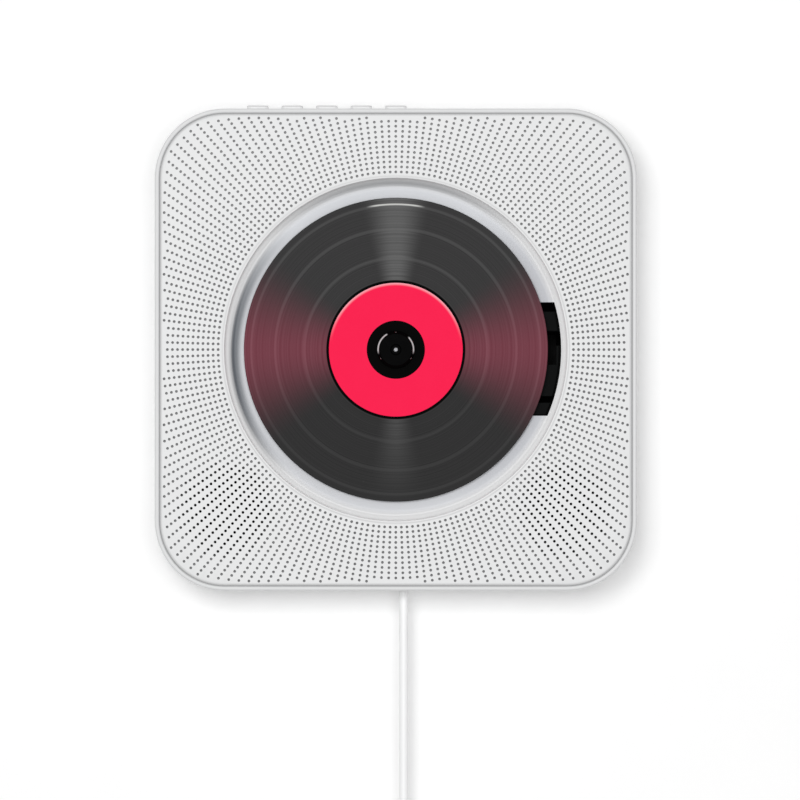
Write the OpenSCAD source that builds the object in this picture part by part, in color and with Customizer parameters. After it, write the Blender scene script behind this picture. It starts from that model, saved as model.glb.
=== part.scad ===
// Wall mounted CD player with an open, dished disc well, a perforated front and a pull cord.
//
// Every sub-part is modelled as it lies on a bench, on its back: X to the right, Y up as hung,
// Z out of the wall towards the listener. Z = 0 is the wall. as_hung() then stands the part up,
// so that the finished model has +Z up and its front towards -Y.
// The origin is on the wall, in line with the spindle, at the centre of the bracket's screw holes.

/* [Body] */
// Width and height of the square body
body_w = 190; // [186:1:200]
// Radius of the body's four corners, seen from the front
corner_r = 27.5; // [24:0.5:32]
// Distance from the wall to the front face
body_d = 42; // [42:0.5:48]
// Thickness of the rear housing's side walls
shell_t = 1.8; // [1.4:0.1:2.2]
// Thickness of the rear housing's back panel
back_t = 2.2; // [1.8:0.1:2.6]
// Gap between the wall and the back panel
wall_gap = 1.5; // [1:0.1:2]
// Radius of the edge between the back panel and the sides
back_edge_r = 5; // [3:0.5:6]

/* [Front cover] */
// Seam between the front cover and the rim of the housing
seam = 0.4; // [0.2:0.05:0.6]
// Thickness of the perforated front panel
cover_t = 2.4; // [2:0.1:3]
// Gap between the edge of the disc and the foot of the well's wall
well_gap = 3.5; // [2.5:0.25:5]
// How far the well's wall leans outwards on its way up to the lip
well_flare = 5.5; // [4.5:0.25:7]
// Depth of the well below the front panel
well_d = 8.8; // [8.2:0.1:9.2]
// Thickness of the well's floor
floor_t = 2.2; // [1.8:0.1:2.4]
// Left edge of the opening over the pickup
window_left = -22; // [-26:1:-18]
// Upper edge of the opening over the pickup
window_top = 18.8; // [17:0.2:20]
// Lower edge of the opening over the pickup
window_bottom = -26.1; // [-27:0.1:-24]
// How far the opening's outer end cuts into the foot of the well's wall
window_bite = 1.9; // [1.5:0.1:2.4]

/* [Grille] */
// Number of radial lines of holes round the well
grille_spokes = 200; // [100:20:200]
// Distance of the innermost ring of holes from the well's lip
grille_lip_gap = 1; // [1:0.5:4]
// Step from one ring of holes to the next
grille_step = 2; // [2:0.5:4]
// Diameter of one hole
grille_hole_d = 1.1; // [0.8:0.1:1.2]
// Gap between a speaker and the inside of the cover's skirt
speaker_wall_gap = 6; // [5:0.5:8]
// Gap between a speaker and the well's lip
speaker_well_gap = 3.3; // [2.5:0.1:5]

/* [Disc] */
// Diameter of the disc
disc_d = 120; // [118:1:120]
// Diameter of the disc's centre hole
disc_hole_d = 15; // [14:0.5:16]
// Thickness of the disc
disc_t = 1.2; // [1:0.1:1.4]
// Gap between the well's floor and the disc's underside
disc_gap = 2.2; // [1.8:0.1:2.6]
// Diameter of the printed label
label_d = 52.8; // [46:0.2:60]
// Diameter of the clear middle of the label
label_hole_d = 23; // [20:0.5:28]

/* [Buttons] */
// Number of buttons on the top
button_count = 5; // [5]
// Distance between two neighbouring buttons
button_pitch = 13.7; // [12.5:0.1:14]
// Width of a button
button_w = 8.5; // [7:0.1:9]
// Depth of a button from front to back
button_l = 13; // [10:0.5:14]
// Height of a button above the top of the body
button_rise = 1.8; // [1.2:0.1:2.4]
// Travel of a button
button_travel = 0.5; // [0.3:0.05:0.5]

/* [Pickup] */
// Distance of the lens from the spindle when the pickup is parked
lens_rest_x = 26; // [24:0.5:30]
// Diameter of the two rods that guide the sled
rod_d = 3; // [2.6:0.1:3.2]
// Distance of each guide rod from the line of the lens
rod_y = 19; // [18.5:0.1:19.5]
// Module of the rack and of the small wheel on it
rack_module = 0.6; // [0.6]
// Teeth of the small wheel on the rack
rack_wheel_teeth = 14; // [12:1:14]
// Module of the motor's pinion and of the large wheel
drive_module = 0.5; // [0.5]
// Teeth of the large wheel
drive_wheel_teeth = 40; // [36:1:40]
// Teeth of the motor's pinion
pinion_teeth = 12; // [11:1:13]

/* [Wall bracket] */
// Width of the bracket's plate
bracket_w = 76; // [72:1:80]
// Height of the bracket's plate
bracket_h = 56; // [52:1:56]
// Thickness of the bracket's sheet
bracket_t = 1.5; // [1:0.1:1.8]
// Sideways distance between the screw holes
screw_span_x = 60; // [56:1:62]
// Upright distance between the screw holes
screw_span_y = 40; // [38:1:42]
// Diameter of the screw holes in the bracket
screw_hole_d = 4.2; // [3.4:0.1:4.6]
// Sideways distance of each hook from the middle
hook_x = 22; // [20:0.5:24]
// Height of a hook's upright finger
hook_h = 4.5; // [4:0.1:5]

/* [Pull cord] */
// Diameter of the cord
cord_d = 3.5; // [3.2:0.1:3.6]
// Sideways distance of the cord from the middle
cord_x = 3.1; // [2:0.1:4]
// Distance of the cord from the wall
cord_z = 20; // [19:0.5:21]
// Travel of the pull cord
pull_travel = 4; // [3:0.5:4]
// Radius of the outermost turn of the coiled cord
coil_r = 30; // [30:1:32]
// Distance between two neighbouring turns of the coil
coil_pitch = 4; // [4:0.1:4.2]
// Turns in the coil's first layer
coil_turns = 4; // [3:1:4]

/* [Hidden] */
$fn = 72;

// Clearances and small overlaps shared by several sub-parts
slide_gap = 0.3;      // between a piece and the opening that it moves through
run_gap = 0.05;       // radial clearance of a shaft or rod in its bore
through = 1;          // how far a cutter stands out past the face that it cuts

// Levels above the wall
back_z = wall_gap;                          // outside of the back panel
back_inner_z = wall_gap + back_t;           // inside of the back panel
panel_z = body_d - cover_t;                 // inside of the perforated panel
floor_z = body_d - well_d;                  // front of the well's floor
floor_back_z = floor_z - floor_t;           // back of the well's floor
disc_z = floor_z + disc_gap;                // underside of the disc
disc_top_z = disc_z + disc_t;
label_t = 0.1;

// Rear housing
back_band = back_edge_r + 3;                // width of the back that is swept round with the sides

// Front cover
cover_w = body_w - 2 * shell_t - 2 * seam;
cover_corner_r = corner_r - shell_t - seam;
cover_band = 6;       // width of the panel's outer band, which carries the skirt
cover_edge_r = 0.8;
skirt_t = 1.6;
skirt_z = 33;         // lower edge of the skirt
lip_edge_r = 1.4;     // rounding of the well's lip
well_wall_t = 2;
well_fillet_r = 2.4;  // between the well's floor and its wall
well_lean = 20;       // angle of the well's wall from upright
well_floor_r = disc_d / 2 + well_gap;       // where the well's floor ends
lip_r = well_floor_r + well_flare;          // where the perforated panel begins
window_r = well_floor_r + window_bite;      // outer end of the opening over the pickup

// Screws that hold the cover and the housing together
case_screw_r = 1.3;
case_boss_r = 4;
case_tube_z = 12;     // where the housing's tubes meet the cover's bosses
case_head_z = 9.8;    // seat of the screw heads
case_head_r = 2.8;
case_head_h = 2;
case_screw_l = 15.2;
case_boss_gap = 0.2;
case_high = body_w / 2 - 23;                // the upper two screws, sideways and upwards
case_low_x = 38;
case_low_y = 11 - body_w / 2;
case_points = [
  [-case_high, case_high], [case_high, case_high], [-case_low_x, case_low_y], [case_low_x, case_low_y]
];

// Feet
foot_r = 6;
foot_sink = 0.8;
foot_high_x = 55;
foot_high_y = body_w / 2 - 15;
foot_low_x = 62;
foot_low_y = 13 - body_w / 2;
foot_points = [
  [-foot_high_x, foot_high_y], [foot_high_x, foot_high_y], [-foot_low_x, foot_low_y], [foot_low_x, foot_low_y]
];

// Bracket pocket
pocket_side = 1.5;    // free space beside the bracket
pocket_floor_z = 4.5; // outside of the pocket's floor
pocket_t = 2;
hook_w = 10;
hook_y = 8;           // upper face of a hook's neck
hook_rest_gap = 0.1;
hook_sheet_gap = 0.3;
lift = hook_h + 0.7;  // how far the player is lifted to unhook it

// Buttons and their board
top_y = body_w / 2;                         // outside of the top wall
inner_top_y = top_y - shell_t;
button_z = body_d / 2;
button_flange_gap = 0.3;
button_flange_t = 1;
button_flange_rim = 1.2;
button_stem_w = 4;
button_corner_r = 1.5;
button_edge = 0.5;                          // step round the cap's top
board_t = 1.6;
board_drop = 15.6;
board_y = top_y - board_drop;               // underside of the button board
board_end = 9.5;                            // board beyond the outer buttons' centres
board_depth = 18;
board_screw_r = 1.2;
board_screw_bite = 2.8;                     // length of a board's screw below the board
board_head_r = 2.2;
board_head_h = 1.4;
tact_w = 6;
tact_h = 3.6;
plunger_r = 1.7;
plunger_rise = 1.6;                         // plunger above the switch's case
plunger_sunk = 0.8;
tact_bore = plunger_sunk + button_travel + 0.1;
shelf_w = 5;
shelf_h = 4.4;
shelf_z = button_z + 5;

// Deck of the disc mechanism
deck_t = 1.6;
deck_gap = 2.6;                             // between the deck and the well's floor
deck_front_z = floor_back_z - deck_gap;
deck_z = deck_front_z - deck_t;             // back of the deck
deck_left = -36;
deck_right = 70;
deck_bottom = -37;
deck_top = 46;
deck_corner_r = 6;
deck_rim_h = 1.5;
deck_rim_t = 1.6;
damper_r = 4.2;
damper_waist_r = 3;
damper_flange_t = 0.6;
damper_bore_r = 1.6;
damper_inset = 8;                           // from the deck's left, lower and upper edges
damper_right_inset = 22;
damper_drive_inset_x = 16;                  // the damper beside the sled's motor
damper_drive_inset_y = 15;
damper_points = [
  [deck_left + damper_inset, deck_bottom + damper_inset],
  [deck_right - damper_right_inset, deck_bottom + damper_inset],
  [deck_left + damper_inset, deck_top - damper_inset],
  [deck_right - damper_drive_inset_x, deck_top - damper_drive_inset_y]
];
deck_boss_r = 3.8;
deck_screw_r = 1.2;
deck_screw_bite = 0.6;                      // length of a deck's screw in the well's floor
deck_head_r = 3.4;
deck_head_h = 1.6;

// Ribs at the deck's end, beside the disc: the near end and the two edges of each
rib_h = 3;
rib_near_x = 57;
high_rib_top = 14.9;
high_rib_low = 7.6;
mid_rib_top = 1.5;
mid_rib_step = -6;                          // above it the middle rib starts at the lens's slot
mid_rib_low = -18.6;
low_rib_near_x = 54;
low_rib_top = -21;
low_rib_low = -25.6;

// Spindle
motor_r = 12;
motor_h = 14.6;
motor_cap_h = 1;      // closed end of the motor's can
motor_nose_r = 4;
motor_nose_h = 0.4;   // nose in front of the deck
shaft_r = 1;
table_r = 14.5;
table_t = 1.2;
pad_t = 0.6;
pad_w = 4;
pad_edge = 0.6;       // from the platter's edge to the pad
hub_r = disc_hole_d / 2 - 0.15;
hub_rise = 2;         // hub above the disc
ball_r = 1.2;
ball_reach = hub_r - 0.02;
ball_angles = [210, 330, 90];
ball_well = 0.5;      // depth that a ball can be pushed in

// Sled and lens
lens_min_x = 23;
lens_max_x = 58;
sled_back = 10;       // sled from the lens towards the spindle
sled_front = 7;       // and away from it
sled_half_w = 15;
sled_top_z = deck_z - 0.6;
sled_h = 8;
sled_z = sled_top_z - sled_h;
rod_z = deck_z - 5.2;
rod_r = rod_d / 2;
lug_w = 4.5;
lug_half = 3;
lug_gap = 0.5;
turret_half_w = 5.3;
turret_back = 6;
turret_front = 5;
turret_h = 5.2;
holder_w = 8;
holder_h = 5.4;
holder_gap = 1.4;     // holder above the sled's top
lens_crown = 0.7;
pit_gap = 0.3;
lens_r = 2;
lens_gap = 1.4;       // lens below the disc
slot_gap = 0.5;       // round the turret in the deck's slot
slot_end = lens_max_x + turret_front + slot_gap;
sled_window_end = 56.5;
lens_top_z = disc_z - lens_gap;

// Rack and gears
rack_r = rack_module * rack_wheel_teeth / 2;          // pitch radius of the small wheel
drive_r = drive_module * drive_wheel_teeth / 2;
pinion_r = drive_module * pinion_teeth / 2;
rack_foot_y = rod_y + lug_half + 0.6;                 // the rack passes the rod's lugs
rack_strip = 2.1;
rack_pitch_y = rack_foot_y + rack_strip + 1.15 * rack_module;
rack_h = 2.6;
rack_back = 31;
rack_front = 10;
wheel_x = 30;
wheel_y = rack_pitch_y + rack_r;
axle_r = 1;
axle_head_r = 1.9;
axle_head_h = 0.6;
drive_wheel_t = 2.6;
pinion_side = 0.2;                          // pinion beyond each side of the wheel it drives
pinion_gap = 0.7;                           // between the pinion and the motor's nose
sled_motor_angle = 20;
sled_motor_x = wheel_x + (drive_r + pinion_r) * cos(sled_motor_angle);
sled_motor_y = wheel_y + (drive_r + pinion_r) * sin(sled_motor_angle);
sled_motor_r = 7.4;
sled_shaft_r = 0.8;
sled_motor_h = 10.4;
sled_nose_r = 2.4;
sled_nose_h = 0.6;
drive_wheel_z = deck_z - sled_motor_h - sled_nose_h - pinion_gap - pinion_side - drive_wheel_t;
axle_end_z = drive_wheel_z - 0.8;           // end of the idler's axle and of the motor's shaft

// Speakers. But for its gaps, each one touches the well's lip and both sides of a lower corner.
speaker_side = cover_w / 2 - skirt_t - speaker_wall_gap;
speaker_diagonal = (speaker_side + lip_r + speaker_well_gap) / (1 + sqrt(2));
speaker_r = speaker_side - speaker_diagonal;
speaker_shift = 1.75;                       // up and out, from the corner's diagonal
speaker_x = speaker_diagonal + speaker_shift;
speaker_y = speaker_diagonal - speaker_shift;
speaker_flange_t = 1.6;
speaker_flange_w = 3;
basket_h = 10;
basket_t = 1;
basket_hole_r = 2.6;
magnet_r = 11;
magnet_h = 7;
magnet_plate_t = 1.2;
pole_r = 4.6;
pole_rise = 1.5;
coil_gap_r = 6.2;     // outside of the magnet's gap
coil_gap_depth = 3;
voice_coil_r = 5.9;
voice_coil_t = 0.9;
voice_coil_h = 4.4;
cone_swing = 0.5;
cone_side_gap = 0.4;  // between the cone's edge and its frame
surround_w = 2.6;
surround_t = 0.4;
surround_rise = 0.6;
cap_rise = 3.2;       // dust cap above the neck of the cone
speaker_ring_t = 1;
speaker_ring_h = 5;

// Grille
grille_margin = 1.3;  // least distance of a hole's centre from the panel's outline
grille_first_r = lip_r + grille_lip_gap;
grille_rings = ceil((norm([speaker_x, speaker_y]) + speaker_r - grille_first_r) / grille_step);

// Pull switch
guide_r = 5.2;
guide_t = 2.2;
guide_grip = 10;      // length of the plunger in its guide
exit_r = 3;
bottom_y = -body_w / 2;
inner_bottom_y = bottom_y + shell_t;
spring_r = 4.3;
spring_wire_d = 0.7;
spring_turns = 6;
spring_h = pull_travel + spring_turns * spring_wire_d + 0.8;
guide_h = spring_h + guide_grip;
pull_body_h = 14;
pull_neck_r = 2.4;    // end of the plunger that presses the switch
pull_groove = 3;      // length of the groove round the plunger
pull_groove_depth = 0.75;
pull_body_y = inner_bottom_y + spring_h;              // underside of the plunger
switch_w = 12.8;
switch_h = 6.5;
switch_d = 5.8;
switch_gap = 0.2;
switch_pin_r = 1;
switch_pin_x = 4.75;
relief_top_r = 3;
relief_end_r = 2.3;
relief_end_y = bottom_y + 1;
relief_rib = 1.2;
relief_ribs = 4;

// Main board, between the left speaker and the cord's guide
main_gap = 2.7;
main_w = 49;
main_h = 38.5;
main_low_gap = 16.5;
main_right = cord_x - guide_r - guide_t - main_gap;
main_left = main_right - main_w;
main_bottom = bottom_y + main_low_gap;
main_top = main_bottom + main_h;
main_z = 8;
post_r = 3;
main_screw_inset = 4;

// Parts on the main board, each placed from the board's left and lower edges
chip_left = 14;
chip_low = 16.5;
chip_w = 14;
chip_t = 1.6;
driver_left = 34;
driver_low = 24.5;
driver_w = 9;
driver_l = 7;
driver_t = 1.4;
socket_left = 10;
socket_low = 4.5;
socket_w = 12;
socket_l = 5;
socket_t = 5;
capacitor_left = 30;
capacitor_step = 8;
capacitor_low = 10.5;
capacitor_r = 3.2;
capacitor_h = 7;
inductor_left = 43;
inductor_low = 18.5;
inductor_r = 2.5;
inductor_h = 6;

// Cord. Its first stretch hangs straight down from the relief to the coil.
drop_points = [
  [cord_x, relief_end_y, cord_z], [cord_x, -102, cord_z], [cord_x, -110, cord_z],
  [cord_x, -118, cord_z], [cord_x, -126, cord_z], [cord_x, -134, cord_z],
  [cord_x, -142, cord_z], [cord_x, -150, cord_z], [cord_x, -158, cord_z],
  [cord_x, -167, cord_z], [cord_x, -176, cord_z]
];
coil_start_y = -176;
coil_sides = 6;
coil_rings = 24;                                      // in one turn
bend_r = 4 * cord_d;                                  // bend that leads into the coil
join_angle = acos(bend_r / (coil_r + bend_r));        // where the bend meets the outer turn
bend_y = coil_start_y - cord_d;
coil_y = bend_y - (coil_r + bend_r) * sin(join_angle);
layer_step = -coil_pitch;                             // the second layer lies nearer to the wall
reverse_angle = join_angle - 360 * coil_turns - 180;  // end of the half turn between the layers
last_angle = 360 * floor((reverse_angle - 360 * (coil_turns - 0.5)) / 360);
coil_end_r = coil_r - coil_pitch * coil_turns + coil_pitch * (reverse_angle - last_angle) / 360;
tail_x = cord_x + coil_end_r;
tail_z = cord_z + layer_step;
tail_y = coil_y - cord_d;
plug_y = -259;
tail_points = [
  [tail_x, tail_y, tail_z], [tail_x, -233, tail_z], [tail_x, -242, tail_z],
  [tail_x, -251, tail_z], [tail_x, plug_y, tail_z]
];
tube_sides = 8;
tie_angle = 112;
tie_w = 6;
tie_t = 1;
tie_gap = 0.25;

// Plug
plug_w = 15.5;
plug_l = 24;
plug_t = 7.6;
plug_corner_r = 2.4;
plug_boot_h = 5;
plug_rib = 0.6;
plug_rib_step = 2.4;
plug_shell_w = 12;
plug_shell_h = 4.5;
plug_shell_l = 12;
plug_sheet_t = 0.3;
plug_window = 2.2;    // square windows in the shell
plug_window_x = 2.9;
tongue_t = 1.8;
tongue_gap = 0.1;

function button_x(i) = -button_pitch * i;

// Points of an arc about a centre, from one angle to another
function arc(centre, r, from, to, steps) =
  [for (i = [0:steps]) let (a = from + (to - from) * i / steps) centre + r * [cos(a), sin(a)]];

function unit(v) = v / norm(v);

// ---------------------------------------------------------------- helpers

module as_hung() {
  rotate([90, 0, 0]) children();
}

module slab(z, t) {
  translate([0, 0, z]) linear_extrude(t) children();
}

module spun(x = 0, y = 0) {
  translate([x, y, 0]) rotate_extrude() children();
}

// Revolves a profile about an upright line through x, z. Its height is measured along Y.
module spun_upright(x, z) {
  translate([x, 0, z]) rotate([-90, 0, 0]) rotate_extrude() children();
}

module post(point, r, from, to) {
  translate([point.x, point.y, from]) cylinder(r = r, h = to - from);
}

module box(from, to) {
  translate(from) cube(to - from);
}

module rounded_rect(w, h, r) {
  square([w - 2 * r, h], center = true);
  square([w, h - 2 * r], center = true);
  for (x = [-1, 1], y = [-1, 1]) translate([x * (w / 2 - r), y * (h / 2 - r)]) circle(r);
}

module rounded_plate(left, bottom, right, top, r) {
  translate([(left + right) / 2, (bottom + top) / 2]) rounded_rect(right - left, top - bottom, r);
}

// Sweeps a profile round a square with rounded corners. In the profile, X is the distance
// inwards from the outline, and Y the height above the wall.
module round_the_square(w, r) {
  for (a = [0:90:270]) rotate(a) {
    translate([w / 2 - r, w / 2 - r, 0])
      rotate_extrude(angle = 90) translate([r, 0]) mirror([1, 0]) children();
    translate([w / 2, w / 2 - r, 0])
      rotate([90, 0, 0]) linear_extrude(w - 2 * r) mirror([1, 0]) children();
  }
}

// One tube along a path. ref is a direction that the path never runs in.
module tube(path, r, sides, ref) {
  n = len(path);
  rings = [for (i = [0:n - 1])
    let (
      t = unit(path[min(i + 1, n - 1)] - path[max(i - 1, 0)]),
      u = unit(cross(t, ref)),
      v = cross(u, t)
    )
    [for (j = [0:sides - 1]) let (a = 360 * (j + 0.5) / sides) path[i] + r * (cos(a) * u + sin(a) * v)]];
  points = [for (ring = rings) each ring];
  walls = [for (i = [0:n - 2], j = [0:sides - 1])
    let (k = (j + 1) % sides, a = i * sides + j, b = i * sides + k)
    each [[a, b, b + sides], [a, b + sides, a + sides]]];
  first_end = [for (j = [1:sides - 2]) [0, j + 1, j]];
  last_end = [for (j = [1:sides - 2]) [(n - 1) * sides, (n - 1) * sides + j, (n - 1) * sides + j + 1]];
  polyhedron(points, concat(walls, first_end, last_end));
}

// Pan head screw. Its head stands on Z = 0, and its shank points to -Z.
module screw(r, length, head_r, head_h) {
  rotate_extrude()
    polygon([[0, -length], [r, r - length], [r, 0], [head_r, 0], [head_r, head_h / 2], [head_r * 0.7, head_h],
             [0, head_h]]);
}

// Outline of a gear wheel whose first tooth points to an angle
module gear_outline(teeth, size, angle) {
  pitch_r = size * teeth / 2;
  root_r = pitch_r - 1.1 * size;
  tip_r = pitch_r + 0.85 * size;
  step = 360 / teeth;
  polygon([for (i = [0:teeth - 1])
    let (a = angle + i * step)
    each [
      root_r * [cos(a - 0.30 * step), sin(a - 0.30 * step)],
      tip_r * [cos(a - 0.10 * step), sin(a - 0.10 * step)],
      tip_r * [cos(a + 0.10 * step), sin(a + 0.10 * step)],
      root_r * [cos(a + 0.30 * step), sin(a + 0.30 * step)]
    ]]);
}

// ---------------------------------------------------------------- wall bracket

module wall_bracket() {
  window_h = hook_h + bracket_t + 1;
  color("silver") as_hung() {
    slab(0, bracket_t) difference() {
      rounded_rect(bracket_w, bracket_h, 4);
      for (x = [-1, 1], y = [-1, 1])
        translate([x * screw_span_x / 2, y * screw_span_y / 2]) circle(d = screw_hole_d);
      for (x = [-hook_x, hook_x])
        translate([x - hook_w / 2, hook_y - bracket_t - window_h]) square([hook_w, window_h]);
    }
    for (x = [-hook_x, hook_x]) {
      finger_z = pocket_floor_z + pocket_t + hook_sheet_gap;
      box([x - hook_w / 2, hook_y - bracket_t, 0], [x + hook_w / 2, hook_y, finger_z + bracket_t]);
      box([x - hook_w / 2, hook_y - bracket_t, finger_z],
          [x + hook_w / 2, hook_y + hook_h, finger_z + bracket_t]);
    }
  }
}

// ---------------------------------------------------------------- rear housing

// Section through the housing's side: fillet to the back, straight wall, rounded rim
module housing_profile() {
  rim_r = shell_t / 2;
  inner_r = back_edge_r - shell_t;
  polygon(concat(
    [[back_band, back_z]],
    arc([back_edge_r, back_z + back_edge_r], back_edge_r, 270, 180, 6),
    arc([rim_r, body_d - rim_r], rim_r, 180, 0, 8),
    arc([shell_t + inner_r, back_inner_z + inner_r], inner_r, 180, 270, 5),
    [[back_band, back_inner_z]]
  ));
}

module bracket_pocket(grow, z, h) {
  slab(z, h)
    rounded_plate(
      -bracket_w / 2 - pocket_side - grow, -bracket_h / 2 - pocket_side - lift - grow,
      bracket_w / 2 + pocket_side + grow, bracket_h / 2 + pocket_side + grow, 4 + grow);
}

module rear_housing() {
  flat_w = body_w - 2 * back_band;
  sunk = 0.1;
  color("white") as_hung() difference() {
    union() {
      round_the_square(body_w, corner_r) housing_profile();
      slab(back_z, back_t) rounded_rect(flat_w + 2 * sunk, flat_w + 2 * sunk, corner_r - back_band + sunk);
      bracket_pocket(pocket_t, back_z, pocket_floor_z + pocket_t - back_z);
      for (p = case_points) post(p, case_boss_r + 0.6, back_inner_z - sunk, case_tube_z);
      for (p = main_screw_points()) post(p, post_r, back_inner_z - sunk, main_z);
      for (p = shelf_points())
        box([p.x - shelf_w / 2, board_y - shelf_h, back_inner_z - sunk],
            [p.x + shelf_w / 2, board_y, p.z + shelf_w / 2 + 0.5]);
      pull_guide();
    }
    bracket_pocket(0, back_z - through, pocket_floor_z - back_z + through);
    for (x = [-hook_x, hook_x])
      box([x - hook_w / 2 - slide_gap, hook_y - bracket_t - lift - slide_gap, pocket_floor_z - through],
          [x + hook_w / 2 + slide_gap, hook_y + hook_rest_gap, pocket_floor_z + pocket_t + through]);
    for (p = case_points) {
      post(p, case_head_r + 0.4, back_z - through, case_head_z);
      post(p, case_screw_r + 0.2, back_z - through, case_tube_z + through);
    }
    for (p = foot_points) post(p, foot_r, back_z - through, back_z + foot_sink);
    for (p = main_screw_points()) post(p, board_screw_r, main_z - board_screw_bite - 0.5, main_z + through);
    for (p = shelf_points())
      translate([p.x, board_y + through, p.z])
        rotate([90, 0, 0]) cylinder(r = board_screw_r, h = board_screw_bite + 0.5 + through);
    for (i = [0:button_count - 1]) button_cut(button_x(i));
    translate([cord_x, bottom_y - through, cord_z])
      rotate([-90, 0, 0]) cylinder(r = exit_r, h = shell_t + 2 * through);
  }
}

// Tube that guides the cord's plunger, with a web to the back panel, and the switch's post
module pull_guide() {
  sunk = 0.1;
  web_half = 1.5;
  post_half = 5;
  switch_y = pull_body_y + pull_body_h + switch_gap;
  switch_inset = 0.8;
  difference() {
    union() {
      translate([cord_x, inner_bottom_y - sunk, cord_z])
        rotate([-90, 0, 0]) cylinder(r = guide_r + guide_t, h = guide_h + sunk);
      box([cord_x - web_half, inner_bottom_y - sunk, back_inner_z - sunk],
          [cord_x + web_half, inner_bottom_y + guide_h, cord_z - guide_r - guide_t / 2]);
    }
    translate([cord_x, inner_bottom_y - through, cord_z])
      rotate([-90, 0, 0]) cylinder(r = guide_r, h = guide_h + 2 * through);
  }
  box([cord_x - post_half, switch_y + switch_inset, back_inner_z - sunk],
      [cord_x + post_half, switch_y + switch_h - switch_inset, cord_z - switch_d / 2]);
}

module button_cut(x) {
  translate([x, top_y + through, button_z]) rotate([90, 0, 0])
    linear_extrude(shell_t + 2 * through)
      rounded_rect(button_w + 2 * slide_gap, button_l + 2 * slide_gap, button_corner_r + slide_gap);
}

module rubber_feet() {
  edge = 0.4;
  color("gray") as_hung()
    for (p = foot_points) spun(p.x, p.y)
      polygon([[0, 0], [foot_r - 3 * edge, 0], [foot_r - 2 * edge, edge], [foot_r - edge, back_z],
               [foot_r - edge / 2, back_z + foot_sink], [0, back_z + foot_sink]]);
}

module housing_screws() {
  color("silver") as_hung()
    for (p = case_points) translate([p.x, p.y, case_head_z]) mirror([0, 0, 1])
      screw(case_screw_r - run_gap, case_screw_l, case_head_r, case_head_h);
}

// ---------------------------------------------------------------- front cover

// Section through the panel's outer band and the skirt that drops into the housing's rim
module cover_edge_profile() {
  polygon(concat(
    [[0, skirt_z]],
    arc([cover_edge_r, body_d - cover_edge_r], cover_edge_r, 180, 90, 5),
    [[cover_band, body_d], [cover_band, panel_z], [skirt_t, panel_z], [skirt_t, skirt_z]]
  ));
}

// Section through half of the dished well: rounded lip, steep wall, fillet and flat floor
module well_profile() {
  foot = [well_floor_r, floor_z + well_fillet_r];
  lip = [lip_r, body_d - lip_edge_r];
  polygon(concat(
    [[0, floor_back_z], [0, floor_z]],
    arc(foot, well_fillet_r, 270, 360 - well_lean, 6),
    arc(lip, lip_edge_r, 180 + well_lean, 90, 6),
    [[lip_r, panel_z], [lip_r + lip_edge_r, panel_z], [foot.x + well_fillet_r + well_wall_t, foot.y],
     [foot.x + well_wall_t, floor_back_z]]
  ));
}

// Places of the grille's holes in front of the speakers. The rings and radial lines are those of
// the whole front, so each speaker shows the part of the pattern that crosses it.
function grille_points() = [
  for (side = [-1, 1], ring = [0:grille_rings], i = [0:grille_spokes - 1])
    let (
      r = grille_first_r + grille_step * ring,
      p = r * [cos(i * 360 / grille_spokes), sin(i * 360 / grille_spokes)],
      off = norm(p - [side * speaker_x, -speaker_y])
    )
    if (off < speaker_r - grille_hole_d / 2 && on_panel(p, grille_margin)) p
];

// True for a point that lies inside the panel's outline by a margin
function on_panel(p, margin) =
  let (q = [abs(p.x), abs(p.y)] - [1, 1] * (cover_w / 2 - cover_corner_r))
  min(q) > 0 ? norm(q) < cover_corner_r - margin : max(q) < cover_corner_r - margin;

module window_outline() {
  intersection() {
    translate([window_left, window_bottom]) square([window_r - window_left + 1, window_top - window_bottom]);
    circle(window_r);
  }
}

module front_cover() {
  flat_w = cover_w - 2 * cover_band;
  sunk = 0.1;
  screw_end_z = case_head_z + case_screw_l;
  color("white") as_hung() {
    difference() {
      union() {
        round_the_square(cover_w, cover_corner_r) cover_edge_profile();
        slab(panel_z, cover_t) difference() {
          rounded_rect(flat_w, flat_w, cover_corner_r - cover_band);
          circle(lip_r);
          for (p = grille_points()) translate(p) circle(d = grille_hole_d);
        }
        spun() well_profile();
        for (p = case_points) post(p, case_boss_r, case_tube_z + case_boss_gap, panel_z + sunk);
        for (p = damper_points) post(p, deck_boss_r, deck_front_z + damper_flange_t, floor_back_z + sunk);
        for (x = [-speaker_x, speaker_x]) slab(panel_z - speaker_ring_h, speaker_ring_h) difference() {
          translate([x, -speaker_y]) circle(speaker_r + slide_gap + speaker_ring_t);
          translate([x, -speaker_y]) circle(speaker_r + slide_gap);
          circle(lip_r);
        }
      }
      slab(floor_back_z - through, body_d) window_outline();
      for (p = case_points) post(p, case_screw_r, case_tube_z - through, screw_end_z + 0.5);
      for (p = damper_points) post(p, deck_screw_r, deck_front_z, floor_back_z + deck_screw_bite + 0.2);
    }
  }
}

// ---------------------------------------------------------------- buttons and their board

module top_button(i) {
  flange_top = inner_top_y - button_flange_gap;
  edge_y = top_y + button_rise - button_edge;
  stem_y = board_y + board_t + tact_h + plunger_rise;
  inset = 0.7 * button_edge;
  sunk = 0.1;
  color("white") as_hung() translate([button_x(i), 0, button_z]) rotate([-90, 0, 0]) {
    slab(flange_top - sunk, edge_y - flange_top + sunk) rounded_rect(button_w, button_l, button_corner_r);
    slab(edge_y, button_edge)
      rounded_rect(button_w - 2 * inset, button_l - 2 * inset, button_corner_r - inset);
    slab(flange_top - button_flange_t, button_flange_t)
      rounded_rect(button_w + 2 * button_flange_rim, button_l + 2 * button_flange_rim, button_corner_r);
    slab(stem_y, flange_top - button_flange_t - stem_y + sunk) square(button_stem_w, center = true);
  }
}

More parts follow.
